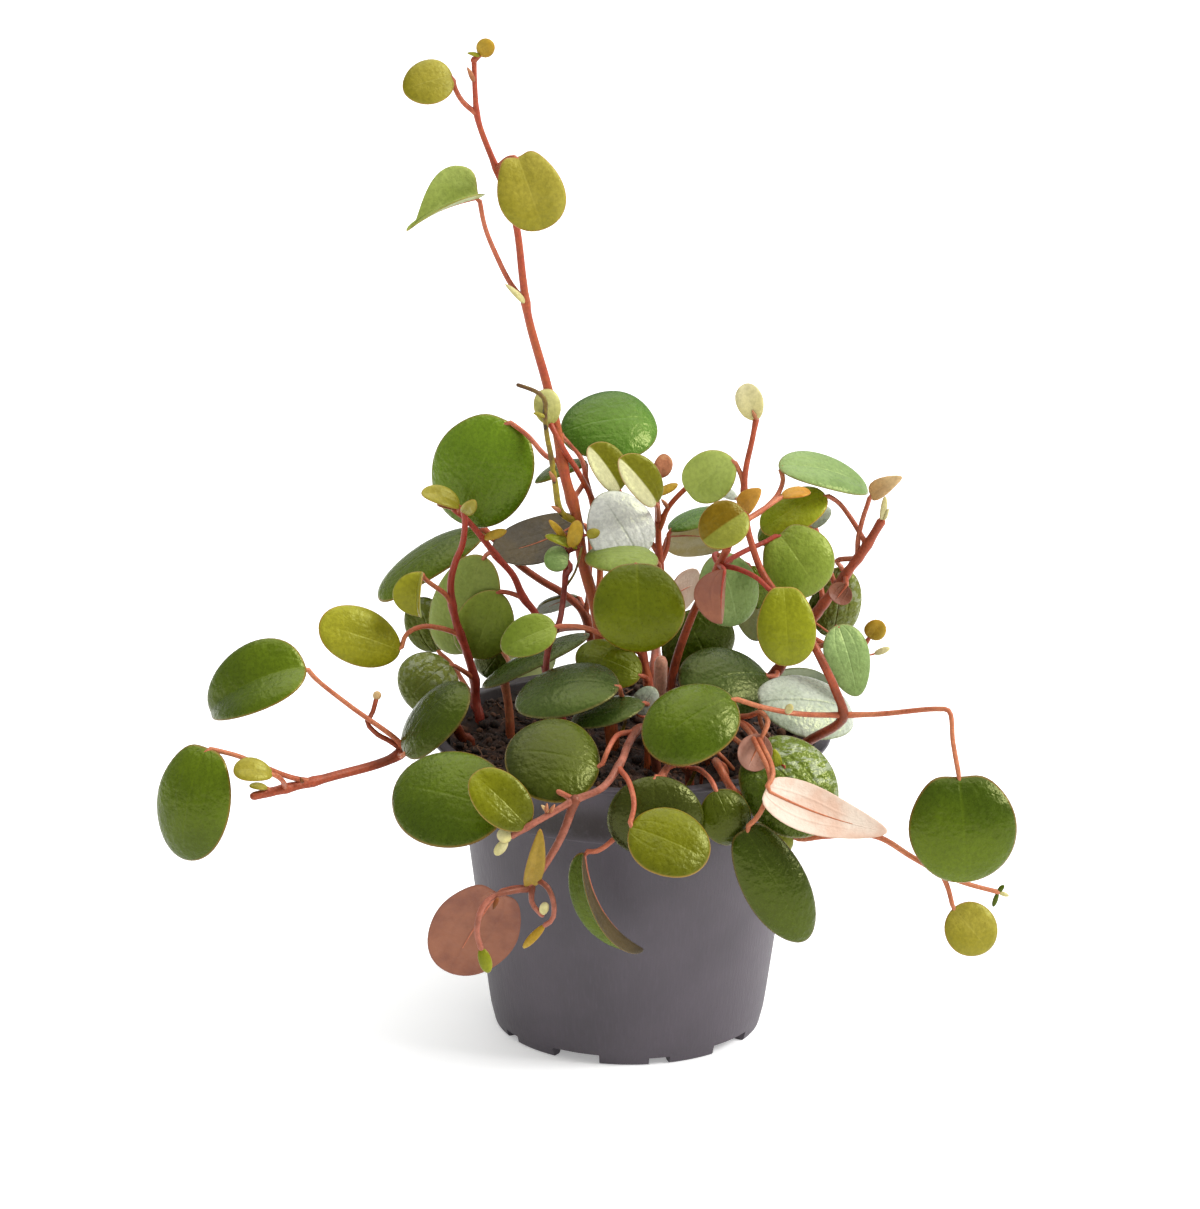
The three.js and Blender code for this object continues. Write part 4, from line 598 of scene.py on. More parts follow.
# ------------------------------------------------------------------ meshes
class Skin:
    """Points and faces of one mesh, with what its materials read."""

    def __init__(self):
        self.points, self.faces, self.looks, self.where, self.glow = [], [], [], [], []
        self.count = 0

    def add(self, points, faces, looks, glow=0.0, where=(0, 0, 0)):
        """looks is one material for all the faces, or one for each of them."""
        self.points.append(points)
        self.faces += [tuple(self.count + corner for corner in face) for face in faces]
        self.looks += looks if isinstance(looks, list) else [looks] * len(faces)
        self.where.append(np.broadcast_to(where, points.shape))
        self.glow.append(np.broadcast_to(glow, len(points)))
        self.count += len(points)

    def piece(self, name, slot, *nodes):
        mesh = bpy.data.meshes.new(name)
        points = np.vstack(self.points) * MM
        mesh.from_pydata(points.tolist(), [], self.faces)
        looks = list(dict.fromkeys(self.looks))
        for look in looks:
            mesh.materials.append(look)
        mesh.polygons.foreach_set("material_index", [looks.index(look) for look in self.looks])
        where = mesh.attributes.new("where", "FLOAT_VECTOR", "POINT")
        where.data.foreach_set("vector", np.vstack(self.where).ravel().astype(np.float32))
        glow = mesh.attributes.new("glow", "FLOAT", "POINT")
        glow.data.foreach_set("value", np.concatenate(self.glow).astype(np.float32))
        mesh.shade_smooth()
        made = shown(name, mesh)
        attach(made, "root")
        if nodes:
            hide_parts(*nodes)
        return made


def shown(name, data):
    """A new object of the data, in the scene."""
    made = bpy.data.objects.new(name, data)
    bpy.context.collection.objects.link(made)
    return made


def lathe(start, rings, end, inward=False):
    """Points and faces of rings of points that a point closes at either end."""
    sides = len(rings[0])
    last = 1 + (len(rings) - 1) * sides
    faces = []
    for side in range(sides):
        beside = (side + 1) % sides
        faces.append((0, 1 + beside, 1 + side))
        for low in range(1, last, sides):
            high = low + sides
            faces.append((low + side, low + beside, high + beside, high + side))
        faces.append((last + side, last + beside, last + sides))
    if inward:
        faces = [(face[0], *face[:0:-1]) for face in faces]
    return np.vstack([[start], *rings, [end]]), faces


def level_ring(radius, level):
    """Points round the pot's axis. level is one height or a function of x and y."""
    turns = 2 * np.pi * np.arange(ROUND_SIDES) / ROUND_SIDES
    x, y = radius * np.sin(turns), -radius * np.cos(turns)
    return np.stack([x, y, level(x, y) if callable(level) else np.full(len(x), level)], 1)


def add_rod(skin, centres, radii, sides, look, first=0.0, last=1.0):
    """Adds a round rod whose two ends are rounded off."""
    low, high = unit(centres[0] - centres[1]), unit(centres[-1] - centres[-2])
    starts = [centres[0] + low * radii[0] * out for out, _ in ROD_END[::-1]]
    stops = [centres[-1] + high * radii[-1] * out for out, _ in ROD_END]
    centres = np.vstack([*starts, centres, *stops])
    wide = np.array([share for _, share in ROD_END])
    radii = np.concatenate([radii[0] * wide[::-1], radii, radii[-1] * wide])
    across = np.array([0.0, 1, 0])
    angles = 2 * np.pi * np.arange(sides) / sides
    rings = []
    for centre, radius, tangent in zip(centres, radii, np.gradient(centres, axis=0)):
        tangent = unit(tangent)
        across = unit(across - tangent * (across @ tangent))
        over = np.cross(tangent, across)
        circle = np.outer(np.cos(angles), across) + np.outer(np.sin(angles), over)
        rings.append(centre + radius * circle)
    points, faces = lathe(centres[0], rings, centres[-1])
    age = np.repeat(np.linspace(first, last, len(centres)), sides)
    skin.add(points, faces, look, np.concatenate([[first], age, [last]]))


# ------------------------------------------------------------------ leaves
def blade_surface(base, tip, width, facing, form):
    """The surface half way through a blade, as in the source of the solids."""
    dome, half_fold, bend, skew, lobe = (*form, 0, 0)[:5]
    chord = tip - base
    bow = max(math.radians(bend), 0.01)
    length = np.linalg.norm(chord) * (bow / 2) / math.sin(bow / 2)
    curl = bow / length
    along = unit(chord)
    normal = direction_of(facing)
    normal = unit(normal - along * (normal @ along))
    sideways = np.cross(along, normal)
    fold = math.radians(half_fold)

    def surface(reach, turn, lift):
        round_ = np.cos(turn)
        near = np.where(turn > np.pi, turn - 2 * np.pi, turn)
        notch = lobe * LOBE_PULL * np.sin(turn) ** 2 * np.exp(-3.2 * near**2)
        across = reach * width / 2 * np.sin(turn) * (1 + skew * round_)
        rim_along = length * ((1 - round_) / 2 - notch)
        down = length / 2 + reach * (rim_along - length / 2)
        crease = math.sin(fold) * (np.hypot(across, 0.3) - 0.3)
        height = dome * (1 - reach**2) + crease + lift
        angle = curl * down
        forwards = np.sin(angle) / curl + height * np.sin(angle)
        upwards = -(1 - np.cos(angle)) / curl + height * np.cos(angle)
        half = bow / 2
        return (
            base
            + np.multiply.outer(across * math.cos(fold), sideways)
            + np.multiply.outer(forwards * math.cos(half) - upwards * math.sin(half), along)
            + np.multiply.outer(forwards * math.sin(half) + upwards * math.cos(half), normal)
        )

    return surface


# Rings of a blade, from the margin to the middle.
REACHES = np.array([1, 0.99, 0.965, 0.93, 0.88, 0.81, 0.72, 0.62, 0.51, 0.4, 0.28, 0.15])


def half_thickness(reach, width):
    """Half a blade's thickness, which thins out towards the margin."""
    thick = min(LEAF_THICKNESS, 0.42 + 0.05 * width)
    return thick / 2 * np.sqrt(np.clip(1 - reach**7, 0, 1)) * (0.72 + 0.28 * (1 - reach**2))


def add_blade(skin, surface, width, glow_way, strength, upper, lower, luck):
    """Adds a blade with a rounded, slightly wavy margin."""
    sides = 56 if width > BROAD_LEAF else 40 if width > SMALL_LEAF else 20
    reaches = REACHES if width > SMALL_LEAF else REACHES[::2]
    turns = 2 * np.pi * np.arange(sides) / sides
    phases = luck.uniform(0, 2 * np.pi, 5)
    waves = zip(MARGIN_WAVES, phases)
    wave = sum(size * np.sin(count * turns + phase) for (size, count), phase in waves)
    ruffle = np.sin(3 * turns + phases[3]) + 0.6 * np.sin(4 * turns + phases[4])
    points, where = [], []
    for face in (1, -1):
        for reach in reaches:
            if face < 0 and reach == 1:
                continue
            lift = face * half_thickness(reach, width) - DROOP * width * reach**9
            lift = lift + RUFFLE * width * ruffle * reach**3
            points.append(surface(reach * (1 + wave * reach**2), turns, lift))
            across = reach * np.sin(turns)
            along = 0.5 - reach * np.cos(turns) / 2
            where.append(np.stack([across, along, np.full(sides, reach)], 1))
        points.append(surface(0.0, 0.0, face * half_thickness(0, width))[None, :])
        where.append(np.array([[0, 0.5, 0]]))
    points, where = np.vstack(points), np.vstack(where)
    rings = len(reaches)
    under = rings * sides + 1
    faces, looks = [], []
    for face, first, made in ((1, 0, upper), (-1, under - sides, lower)):
        for ring in range(rings - 1):
            for side in range(sides):
                next_side = (side + 1) % sides
                outer = ring * sides + first
                inner = outer + sides
                if face < 0 and ring == 0:
                    outer = 0
                quad = (outer + side, outer + next_side, inner + next_side, inner + side)
                faces.append(quad if face > 0 else quad[::-1])
        middle = rings * sides if face > 0 else len(points) - 1
        inner = (rings - 1) * sides + first
        for side in range(sides):
            corner = (inner + side, inner + (side + 1) % sides, middle)
            faces.append(corner if face > 0 else corner[::-1])
        looks += [made] * (rings * sides)
    centre = points.mean(0)
    spread = np.linalg.norm(points - centre, axis=1).max()
    glow = 0.5 + 0.5 * strength * ((points - centre) @ glow_way) / spread
    skin.add(points, faces, looks, glow, where)


def stalk_path(surface, start, places, foot, width):
    """Centres and radii of a leaf's stalk and of the rib that it runs into."""
    thin = min(STALK_RADIUS, width * 0.16)
    lead = smooth_path([start, *places, foot], STALK_STEP)
    radii = np.interp(np.linspace(0, 1, len(lead)), [0, 0.12, 0.8, 1], [1.25, 1, 0.88, 0.95])
    radii = radii * thin
    if width < 3:
        return lead, radii
    share = np.linspace(0.04, 0.72, 12)
    reach = np.abs(1 - 2 * share)
    turn = np.where(share < 0.5, 0.0, np.pi)
    sink = half_thickness(reach, width) * 0.9
    rib = surface(reach, turn, -sink)
    rib_radii = thin * np.interp(share, [0, 0.1, 0.72], [0.8, 0.55, 0.16])
    return np.vstack([lead[:-1], rib]), np.concatenate([radii[:-1], rib_radii])


# ------------------------------------------------------------------ materials
def linear(colour, share=ALBEDO_SHARE):
    """An sRGB colour of 0 to 255 as a linear albedo."""
    channels = []
    for channel in colour:
        level = channel / 255
        level = level / 12.92 if level <= 0.04045 else ((level + 0.055) / 1.055) ** 2.4
        channels.append(level * share)
    return (*channels, 1)


class Nodes:
    """Builds a material's node tree."""

    def __init__(self, name):
        self.material = bpy.data.materials.new(name)
        self.material.use_nodes = True
        self.tree = self.material.node_tree
        self.tree.nodes.clear()

    def add(self, kind, inputs=None, **settings):
        node = self.tree.nodes.new("ShaderNode" + kind)
        for key, value in settings.items():
            setattr(node, key, value)
        for key, value in (inputs or {}).items():
            socket = node.inputs[key]
            if isinstance(value, bpy.types.NodeSocket):
                self.tree.links.new(value, socket)
            else:
                socket.default_value = value
        return node

    def math(self, operation, first, second=0.0):
        node = self.add("Math", {0: first, 1: second}, operation=operation)
        return node.outputs[0]

    def times(self, first, second):
        return self.math("MULTIPLY", first, second)

    def plus(self, first, second):
        return self.math("ADD", first, second)

    def ramp(self, value, low, high, start=0.0, end=1.0):
        inputs = {"Value": value, "From Min": low, "From Max": high}
        inputs.update({"To Min": start, "To Max": end})
        node = self.add("MapRange", inputs, interpolation_type="SMOOTHSTEP")
        return node.outputs["Result"]

    def mix(self, share, first, second, blend="MIX"):
        """Colours of three numbers are sRGB ones of 0 to 255."""
        first, second = (
            linear(each) if isinstance(each, (list, tuple)) and len(each) == 3 else each
            for each in (first, second)
        )
        node = self.add("Mix", {0: share, 6: first, 7: second}, data_type="RGBA", blend_type=blend)
        return node.outputs[2]

    def shaded(self, colour, grain, low, high):
        """The colour times low to high along the grain."""
        shade = self.ramp(grain, 0.3, 0.7, low, high)
        tone = self.add("CombineColor", {0: shade, 1: shade, 2: shade}).outputs[0]
        return self.mix(1.0, colour, tone, "MULTIPLY")

    def position(self):
        return self.add("TexCoord").outputs["Object"]

    def noise(self, scale, detail, roughness, stretch=None):
        vector = self.position()
        if stretch:
            vector = self.add("Mapping", {"Vector": vector, "Scale": stretch}).outputs[0]
        inputs = {"Vector": vector, "Scale": scale, "Detail": detail, "Roughness": roughness}
        return self.add("TexNoise", inputs).outputs["Fac"]

    def attribute(self, name, output="Fac"):
        return self.add("Attribute", attribute_name=name).outputs[output]

    def finish(self, colour, rough, height=None, bump=0, **sockets):
        """Ends the tree in a shader. bump is the height of the bumps in metres."""
        inputs = {key.replace("_", " "): value for key, value in sockets.items()}
        inputs.update({"Base Color": colour, "Roughness": rough})
        if bump:
            bumps = {"Height": height, "Distance": bump, "Strength": 1.0}
            inputs["Normal"] = self.add("Bump", bumps).outputs["Normal"]
        shader = self.add("BsdfPrincipled", inputs)
        self.add("OutputMaterial", {"Surface": shader.outputs[0]})
        return self.material


def vein_masks(nodes):
    """The midrib, the side veins from base to tip, the way across, the reach from the middle."""
    where = nodes.add("SeparateXYZ", {0: nodes.attribute("where", "Vector")})
    across, along, reach = where.outputs
    width = nodes.math("ABSOLUTE", across)
    rest = nodes.math("SUBTRACT", 1.0, along)
    half = nodes.math("SQRT", nodes.math("MAXIMUM", nodes.times(along, rest), 0.004))
    lane = nodes.math("DIVIDE", width, nodes.times(half, 2.0))
    midrib = nodes.times(nodes.ramp(width, 0.05, 0.0), nodes.ramp(along, 0.98, 0.6))
    beside = nodes.math("ABSOLUTE", nodes.math("SUBTRACT", lane, 0.4))
    side = nodes.times(nodes.ramp(beside, 0.08, 0.0), nodes.ramp(along, 0.85, 0.4))
    return midrib, side, across, reach


def upper_material(name, deep, light, margin, finish):
    roughness, quilting = finish
    nodes = Nodes("upper_" + name)
    midrib, side, across, reach = vein_masks(nodes)
    patches = nodes.noise(190, 3, 0.55)
    grain = nodes.noise(1500, 3, 0.6)
    pebbles = nodes.noise(950, 2, 0.5)
    glow = nodes.plus(nodes.attribute("glow"), nodes.ramp(patches, 0.3, 0.7, -0.1, 0.1))
    # Halved leaves: the half painted lighter is painted light, where the fold catches the lamps.
    if name in PARTED:
        glow = nodes.times(nodes.ramp(across, 0.05, -0.07), nodes.ramp(glow, -0.6, 0.6))
    colour = nodes.mix(nodes.ramp(glow, 0, 1), deep, light)
    colour = nodes.shaded(colour, grain, 0.88, 1.1)
    colour = nodes.mix(nodes.times(side, 0.06 * quilting), colour, light)
    colour = nodes.mix(nodes.times(midrib, 0.3), colour, RIBS.get(name, light))
    # Painted glare: pale streaks mixed into the colour on the lighter side of the blade.
    if name in PAINTED_GLARE:
        share, scale = PAINTED_GLARE[name]
        glare_streaks = nodes.ramp(nodes.noise(1, 3, 0.6, scale), 0.48, 0.6)
        glare_mask = nodes.times(glare_streaks, nodes.ramp(glow, 0.3, 0.8))
        colour = nodes.mix(nodes.times(glare_mask, share), colour, (226, 232, 214))
    colour = nodes.mix(nodes.times(nodes.ramp(reach, 0.955, 0.992), 0.6), colour, margin)
    height = nodes.times(nodes.plus(midrib, nodes.times(side, 0.7)), -0.5 * quilting)
    height = nodes.plus(height, nodes.times(pebbles, 0.6 + 0.9 * quilting))
    height = nodes.plus(height, nodes.times(grain, 0.3))
    rough = nodes.ramp(grain, 0.3, 0.7, roughness - 0.05, roughness + 0.07)
    gloss = {"Specular_IOR_Level": 0.4, "Specular_Tint": (0.96, 1, 0.36, 1)}
    return nodes.finish(colour, rough, height, 0.0002, **gloss)


def lower_material(name, deep, light):
    nodes = Nodes("under_" + name)
    midrib, side, _, reach = vein_masks(nodes)
    patches = nodes.noise(160, 3, 0.55)
    grain = nodes.noise(1300, 3, 0.6)
    veins = nodes.plus(midrib, nodes.times(side, 0.6))
    colour = nodes.mix(nodes.ramp(patches, 0.35, 0.65), deep, light)
    colour = nodes.mix(nodes.times(veins, 0.35), colour, deep)
    edge = nodes.times(nodes.ramp(reach, 0.95, 0.99), 0.6)
    colour = nodes.mix(edge, colour, linear(deep, 0.65))
    height = nodes.plus(nodes.times(veins, 0.8), grain)
    return nodes.finish(colour, nodes.ramp(grain, 0.3, 0.7, 0.46, 0.6), height, 0.00012)


def rod_material(name, root, tip):
    nodes = Nodes("rod_" + name)
    patches = nodes.noise(260, 4, 0.6)
    grain = nodes.noise(2200, 3, 0.6)
    glow = nodes.plus(nodes.attribute("glow"), nodes.ramp(patches, 0.3, 0.7, -0.4, 0.4))
    colour = nodes.shaded(nodes.mix(nodes.ramp(glow, 0, 1), root, tip), grain, 0.82, 1.14)
    if name == "straw":
        cells = nodes.add("TexVoronoi", {"Vector": nodes.position(), "Scale": 420})
        spots = nodes.ramp(cells.outputs["Distance"], 0.34, 0.22)
        colour = nodes.mix(spots, colour, (30, 22, 18))
    rough = nodes.ramp(grain, 0.3, 0.7, 0.36, 0.5)
    return nodes.finish(colour, rough, grain, 0.0001, Specular_Tint=(1, 0.7, 0.55, 1))


def pot_material():
    nodes = Nodes("moulded_pot")
    brushed = nodes.noise(1, 3, 0.6, (2600, 2600, 90))
    speckle = nodes.noise(2400, 3, 0.65)
    broad = nodes.ramp(nodes.noise(38, 4, 0.6), 0.3, 0.7)
    colour = nodes.mix(broad, (76, 68, 76), (91, 82, 91))
    colour = nodes.mix(nodes.ramp(brushed, 0.4, 0.75, 0, 0.18), colour, (120, 111, 122))
    colour = nodes.mix(nodes.ramp(speckle, 0.55, 0.8, 0, 0.4), colour, (72, 66, 74))
    x, y, z = nodes.add("SeparateXYZ", {0: nodes.position()}).outputs
    out = nodes.math("SQRT", nodes.plus(nodes.times(x, x), nodes.times(y, y)))
    # The inner wall above the soil is painted dark brown in patches: painted shade in the pot's
    # mouth, mottled like soil dust.
    inside = nodes.times(nodes.ramp(out, 0.0334, 0.0326), nodes.ramp(z, 0.043, 0.045))
    painted_inner_shade = nodes.times(inside, nodes.ramp(nodes.noise(300, 4, 0.7), 0.2, 0.5))
    colour = nodes.mix(nodes.times(painted_inner_shade, 0.9), colour, (40, 26, 20))
    height = nodes.plus(brushed, nodes.times(speckle, 0.6))
    return nodes.finish(colour, nodes.ramp(brushed, 0.3, 0.7, 0.5, 0.62), height, 0.00004)


def soil_material():
    nodes = Nodes("peat")
    clods, grain = nodes.noise(420, 5, 0.65), nodes.noise(2600, 4, 0.7)
    colour = nodes.mix(nodes.ramp(clods, 0.35, 0.7), (36, 21, 14), (84, 52, 32))
    colour = nodes.mix(nodes.ramp(grain, 0.55, 0.75, 0, 0.8), colour, (112, 74, 46))
    return nodes.finish(colour, 0.9, nodes.plus(clods, grain), 0.0004)


def crumb_material():
    nodes = Nodes("peat_crumbs")
    grain = nodes.noise(2200, 4, 0.7)
    glow = nodes.ramp(nodes.attribute("glow"), 0, 1)
    colour = nodes.mix(glow, (30, 18, 12), (110, 70, 44))
    colour = nodes.mix(nodes.ramp(grain, 0.4, 0.7, 0, 0.4), colour, (120, 84, 60))
    return nodes.finish(colour, 0.92, grain, 0.0002)


def fibre_material():
    nodes = Nodes("coconut_fibre")
    grain = nodes.noise(1200, 3, 0.6)
    colour = nodes.mix(nodes.attribute("glow"), (84, 48, 32), (160, 112, 78))
    return nodes.finish(nodes.shaded(colour, grain, 0.8, 1.1), 0.8, grain, 0.00008)


UPPER = {name: upper_material(name, *tint) for name, tint in named(TINTS).items()}
LOWER = {name: lower_material(name, *tint) for name, tint in named(UNDERSIDES).items()}
ROD = {name: rod_material(name, *tint) for name, tint in named(RODS).items()}


# ------------------------------------------------------------------ leafy stems
def stem_paths(table):
    """The centres of each stem of a plant, and what it is: its kind and its two radii."""
    paths, kinds = [], []
    for kind, radii, *along in fields(table):
        along = [numbers(place) for place in along]
        if kind in ("branch", "spike"):
            first = [nearest_on(paths, along.pop(0))]
        else:
            right, front = numbers(kind)
            level = float(soil_height(right, -front))
            first = [(right, -front, level + lift) for lift in (-ROOT_DEPTH, ROOT_TOP)]
        paths.append(smooth_path([*first, *map(place_of, along)], STEM_STEP))
        kinds.append((kind, *numbers(radii)))
    return paths, kinds


def leafy_stem(plant, order):
    luck = np.random.RandomState(PLANT_SEEDS + order)
    stems, blades = Skin(), Skin()
    looks, stem_table, leaf_table = PLANTS[plant]
    stem_look, stalk_look = (ROD[name] for name in looks.split())
    paths, kinds = stem_paths(stem_table)
    joints = []
    for looks, *lengths in fields(leaf_table):
        tint, under, light = (looks + "//").split("/")[:3]
        base, tip, (width,), facing, form, *stalk = map(numbers, lengths)
        start = nearest_on(paths, stalk[0] if stalk else base)
        foot = place_of(base) if stalk else start
        surface = blade_surface(foot, place_of(tip), width, facing, form)
        way, strength = unit(luck.normal(size=3)), LIGHT_SHARE
        if light:
            right, up, strength = numbers(light)
            way = direction_of((right, up, 0))
        upper, lower = UPPER[tint], LOWER[under or "pale"]
        add_blade(blades, surface, width, way, strength, upper, lower, luck)
        joints.append((start, 1.0 if width > SMALL_LEAF else 0.4))
        if stalk:
            centres, radii = stalk_path(surface, start, map(place_of, stalk[1:]), foot, width)
            add_rod(stems, centres, radii, STALK_SIDES, stalk_look, luck.uniform(0, 0.5), 1)
    for path, (kind, low, high) in zip(paths, kinds):
        swell = np.zeros(len(path))
        for joint, size in joints:
            gap = np.linalg.norm(path - joint, axis=1)
            if gap.min() < JOINT_REACH:
                swell = np.maximum(swell, JOINT_SWELL * size * np.exp(-((gap / JOINT_REACH) ** 2)))
        radii = np.linspace(low, high, len(path)) * (1 + swell)
        add_rod(stems, path, radii, STEM_SIDES, ROD["straw"] if kind == "spike" else stem_look)
    for owner, tint, *lengths in fields(SCALES):
        if owner == plant:
            base, tip, (width,) = map(numbers, lengths)
            surface = blade_surface(place_of(base), place_of(tip), width, *SCALE_SHAPE)
            upper, lower = UPPER[tint], LOWER["rust"]
            add_blade(blades, surface, width, UPWARDS, LIGHT_SHARE, upper, lower, luck)
    for owner, look, radius, *along in fields(TWIGS):
        if owner == plant:
            centres = smooth_path([place_of(numbers(place)) for place in along], STALK_STEP)
            radii = np.full(len(centres), float(radius))
            add_rod(stems, centres, radii, STALK_SIDES, ROD[look])
    slot = "stub" if plant == "cut_stub" else "foliage"
    stems.piece(plant + "_rods", slot, plant)
    if blades.count:
        blades.piece(plant + "_blades", slot, plant)


for order, plant in enumerate(PLANTS):
    leafy_stem(plant, order)


# ------------------------------------------------------------------ soil
def wrinkles(x, y, luck, count, longest, shortest):
    """Seeded bumps of mixed size, about -1 to 1."""
    height = np.zeros_like(x)
    for number in range(count):
        wave = longest * (shortest / longest) ** (number / (count - 1))
        turn, phase = luck.uniform(0, 2 * np.pi, 2)
        height += np.sin((x * np.cos(turn) + y * np.sin(turn)) * 2 * np.pi / wave + phase)
    return height / math.sqrt(count)


def soil_top(x, y):
    """The height of the soil with its clods."""
    clods = wrinkles(x, y, np.random.RandomState(CLOD_SEED), *CLOD_WAVES)
    return soil_height(x, y) + CLOD_HEIGHT * np.sign(clods) * np.abs(clods) ** 1.3


def soil_piece():
    rings = [level_ring(SOIL_RADIUS * n / SOIL_RINGS, soil_top) for n in range(1, SOIL_RINGS + 1)]
    rings += [level_ring(radius, level) for radius, level in SOIL_WALL]
    skin = Skin()
    top, low = (0, 0, float(soil_top(0.0, 0.0))), (0, 0, SOIL_WALL[-1][1])
    skin.add(*lathe(top, rings, low, inward=True), soil_material())
    skin.piece("soil_bed", "soil", "soil")


def crumb_shape():
    """A coarse ball of points and faces that crumbs are pressed from."""
    golden = (1 + math.sqrt(5)) / 2
    corners = []
    for first in (-1, 1):
        for second in (-golden, golden):
            corners += [(0, first, second), (first, second, 0), (second, 0, first)]
    corners = np.array(corners, float)
    corners /= np.linalg.norm(corners[0])
    faces = []
    for a in range(12):
        for b in range(a + 1, 12):
            for c in range(b + 1, 12):
                trio = corners[[a, b, c]]
                sides = [np.linalg.norm(trio[i] - trio[i - 1]) for i in range(3)]
                if max(sides) < 1.1:
                    outward = np.cross(trio[1] - trio[0], trio[2] - trio[0]) @ trio.sum(0) > 0
                    faces.append((a, b, c) if outward else (a, c, b))
    return corners, faces


def spot_on_soil(luck, margin):
    """A random place on the soil, at least the margin from its rim."""
    radius, turn = (SOIL_RADIUS - margin) * math.sqrt(luck.uniform()), luck.uniform(0, 2 * np.pi)
    return radius * math.cos(turn), radius * math.sin(turn)


def soil_crumbs():
    luck = np.random.RandomState(CRUMB_SEED)
    skin, look = Skin(), crumb_material()
    corners, faces = crumb_shape()
    for _ in range(CRUMBS):
        x, y = spot_on_soil(luck, 1)
        size = luck.uniform(*(FINE_CRUMBS if luck.uniform() < FINE_CRUMB_SHARE else COARSE_CRUMBS))
        shape = corners * luck.uniform(0.6, 1.2, 3) * luck.uniform(0.75, 1.15, (12, 1)) * size
        level = float(soil_top(x, y)) + 0.3 * size
        skin.add(shape + np.array([x, y, level]), faces, look, luck.uniform() ** 2)
    skin.piece("soil_crumbs", "soil")


def soil_fibres():
    luck = np.random.RandomState(FIBRE_SEED)
    skin, look = Skin(), fibre_material()
    for _ in range(FIBRES):
        x, y = spot_on_soil(luck, 3)
        heading, length = luck.uniform(0, 2 * np.pi), luck.uniform(*FIBRE_LENGTHS)
        places = []
        for share in (-0.5, -0.17, 0.17, 0.5):
            heading += luck.uniform(-0.4, 0.4)
            px, py = x + length * share * math.cos(heading), y + length * share * math.sin(heading)
            held = min(1, (SOIL_RADIUS - 0.6) / max(math.hypot(px, py), 0.1))
            px, py = px * held, py * held
            places.append((px, py, float(soil_top(px, py)) + luck.uniform(-0.1, 0.5)))
        centres = smooth_path(places, STALK_STEP)
        radii = np.linspace(1, 0.5, len(centres)) * luck.uniform(*FIBRE_RADII)
        tone = luck.uniform(0, 1)
        add_rod(skin, centres, radii, FIBRE_SIDES, look, tone, tone)
    skin.piece("soil_fibres", "soil")


soil_piece()
soil_crumbs()
soil_fibres()


# ------------------------------------------------------------------ pot
def rounded(outline, radius, steps=4):
    """An outline with its corners rounded off, where there is room."""
    outline = [np.array(point, float) for point in outline]
    made = [outline[0]]
    for before, corner, after in zip(outline, outline[1:], outline[2:]):
        room = min(np.linalg.norm(before - corner), np.linalg.norm(after - corner)) * 0.45
        reach = min(radius, room)
        start = corner + unit(before - corner) * reach
        end = corner + unit(after - corner) * reach
        for step in range(steps + 1):
            share = step / steps
            bend = 2 * share * (1 - share) * corner
            made.append((1 - share) ** 2 * start + bend + share**2 * end)
    made.append(outline[-1])
    return made


def pot_piece():
    lip_low = POT_HEIGHT - LIP_THICKNESS
    foot_inside = FOOT_RADIUS - FOOT_WIDTH
    shoulder = BAND_LOW_HEIGHT + WALL
    outline = rounded(
        [
            (0, 0),
            (PAD_RADIUS, 0),
            (PAD_RADIUS + 0.8, BASE_HEIGHT),
            (foot_inside - 0.5, BASE_HEIGHT),
            (foot_inside, 0),
            (FOOT_RADIUS - 0.3, 0),
            (FOOT_RADIUS, 1.2),
            (FOOT_RADIUS + 0.5, 3.2),
            (BODY_LOW_RADIUS, BODY_LOW_HEIGHT),
            (BODY_TOP_RADIUS, BODY_TOP_HEIGHT),
            (BAND_LOW_RADIUS, BAND_LOW_HEIGHT),
            (BAND_TOP_RADIUS, lip_low),
            (LIP_RADIUS, lip_low + 0.1),
            (LIP_RADIUS, POT_HEIGHT),
            (BAND_TOP_RADIUS - WALL, POT_HEIGHT),
            (BAND_LOW_RADIUS - WALL, shoulder),
            (BODY_TOP_RADIUS - WALL, BODY_TOP_HEIGHT),
            (BODY_LOW_RADIUS - WALL, BODY_LOW_HEIGHT),
            (FOOT_RADIUS - WALL, BASE_HEIGHT + WALL),
            (0, BASE_HEIGHT + WALL),
        ],
        CORNER_RADIUS,
    )
    rings = [level_ring(radius, level) for radius, level in outline[1:-1]]
    start, end = ((0, 0, level) for _, level in (outline[0], outline[-1]))
    skin = Skin()
    skin.add(*lathe(start, rings, end), pot_material())
    pot = skin.piece("nursery_pot", "pot", "pot")
    cutter = foot_cutter()
    cut = pot.modifiers.new("cuts", "BOOLEAN")
    cut.object = cutter
    cut.solver = "EXACT"
    depsgraph = bpy.context.evaluated_depsgraph_get()
    made = bpy.data.meshes.new_from_object(pot.evaluated_get(depsgraph))
    pot.modifiers.clear()
    pot.data = made
    bpy.data.objects.remove(cutter)
    made.shade_smooth()
    made.set_sharp_from_angle(angle=math.radians(SHARP_DEGREES))


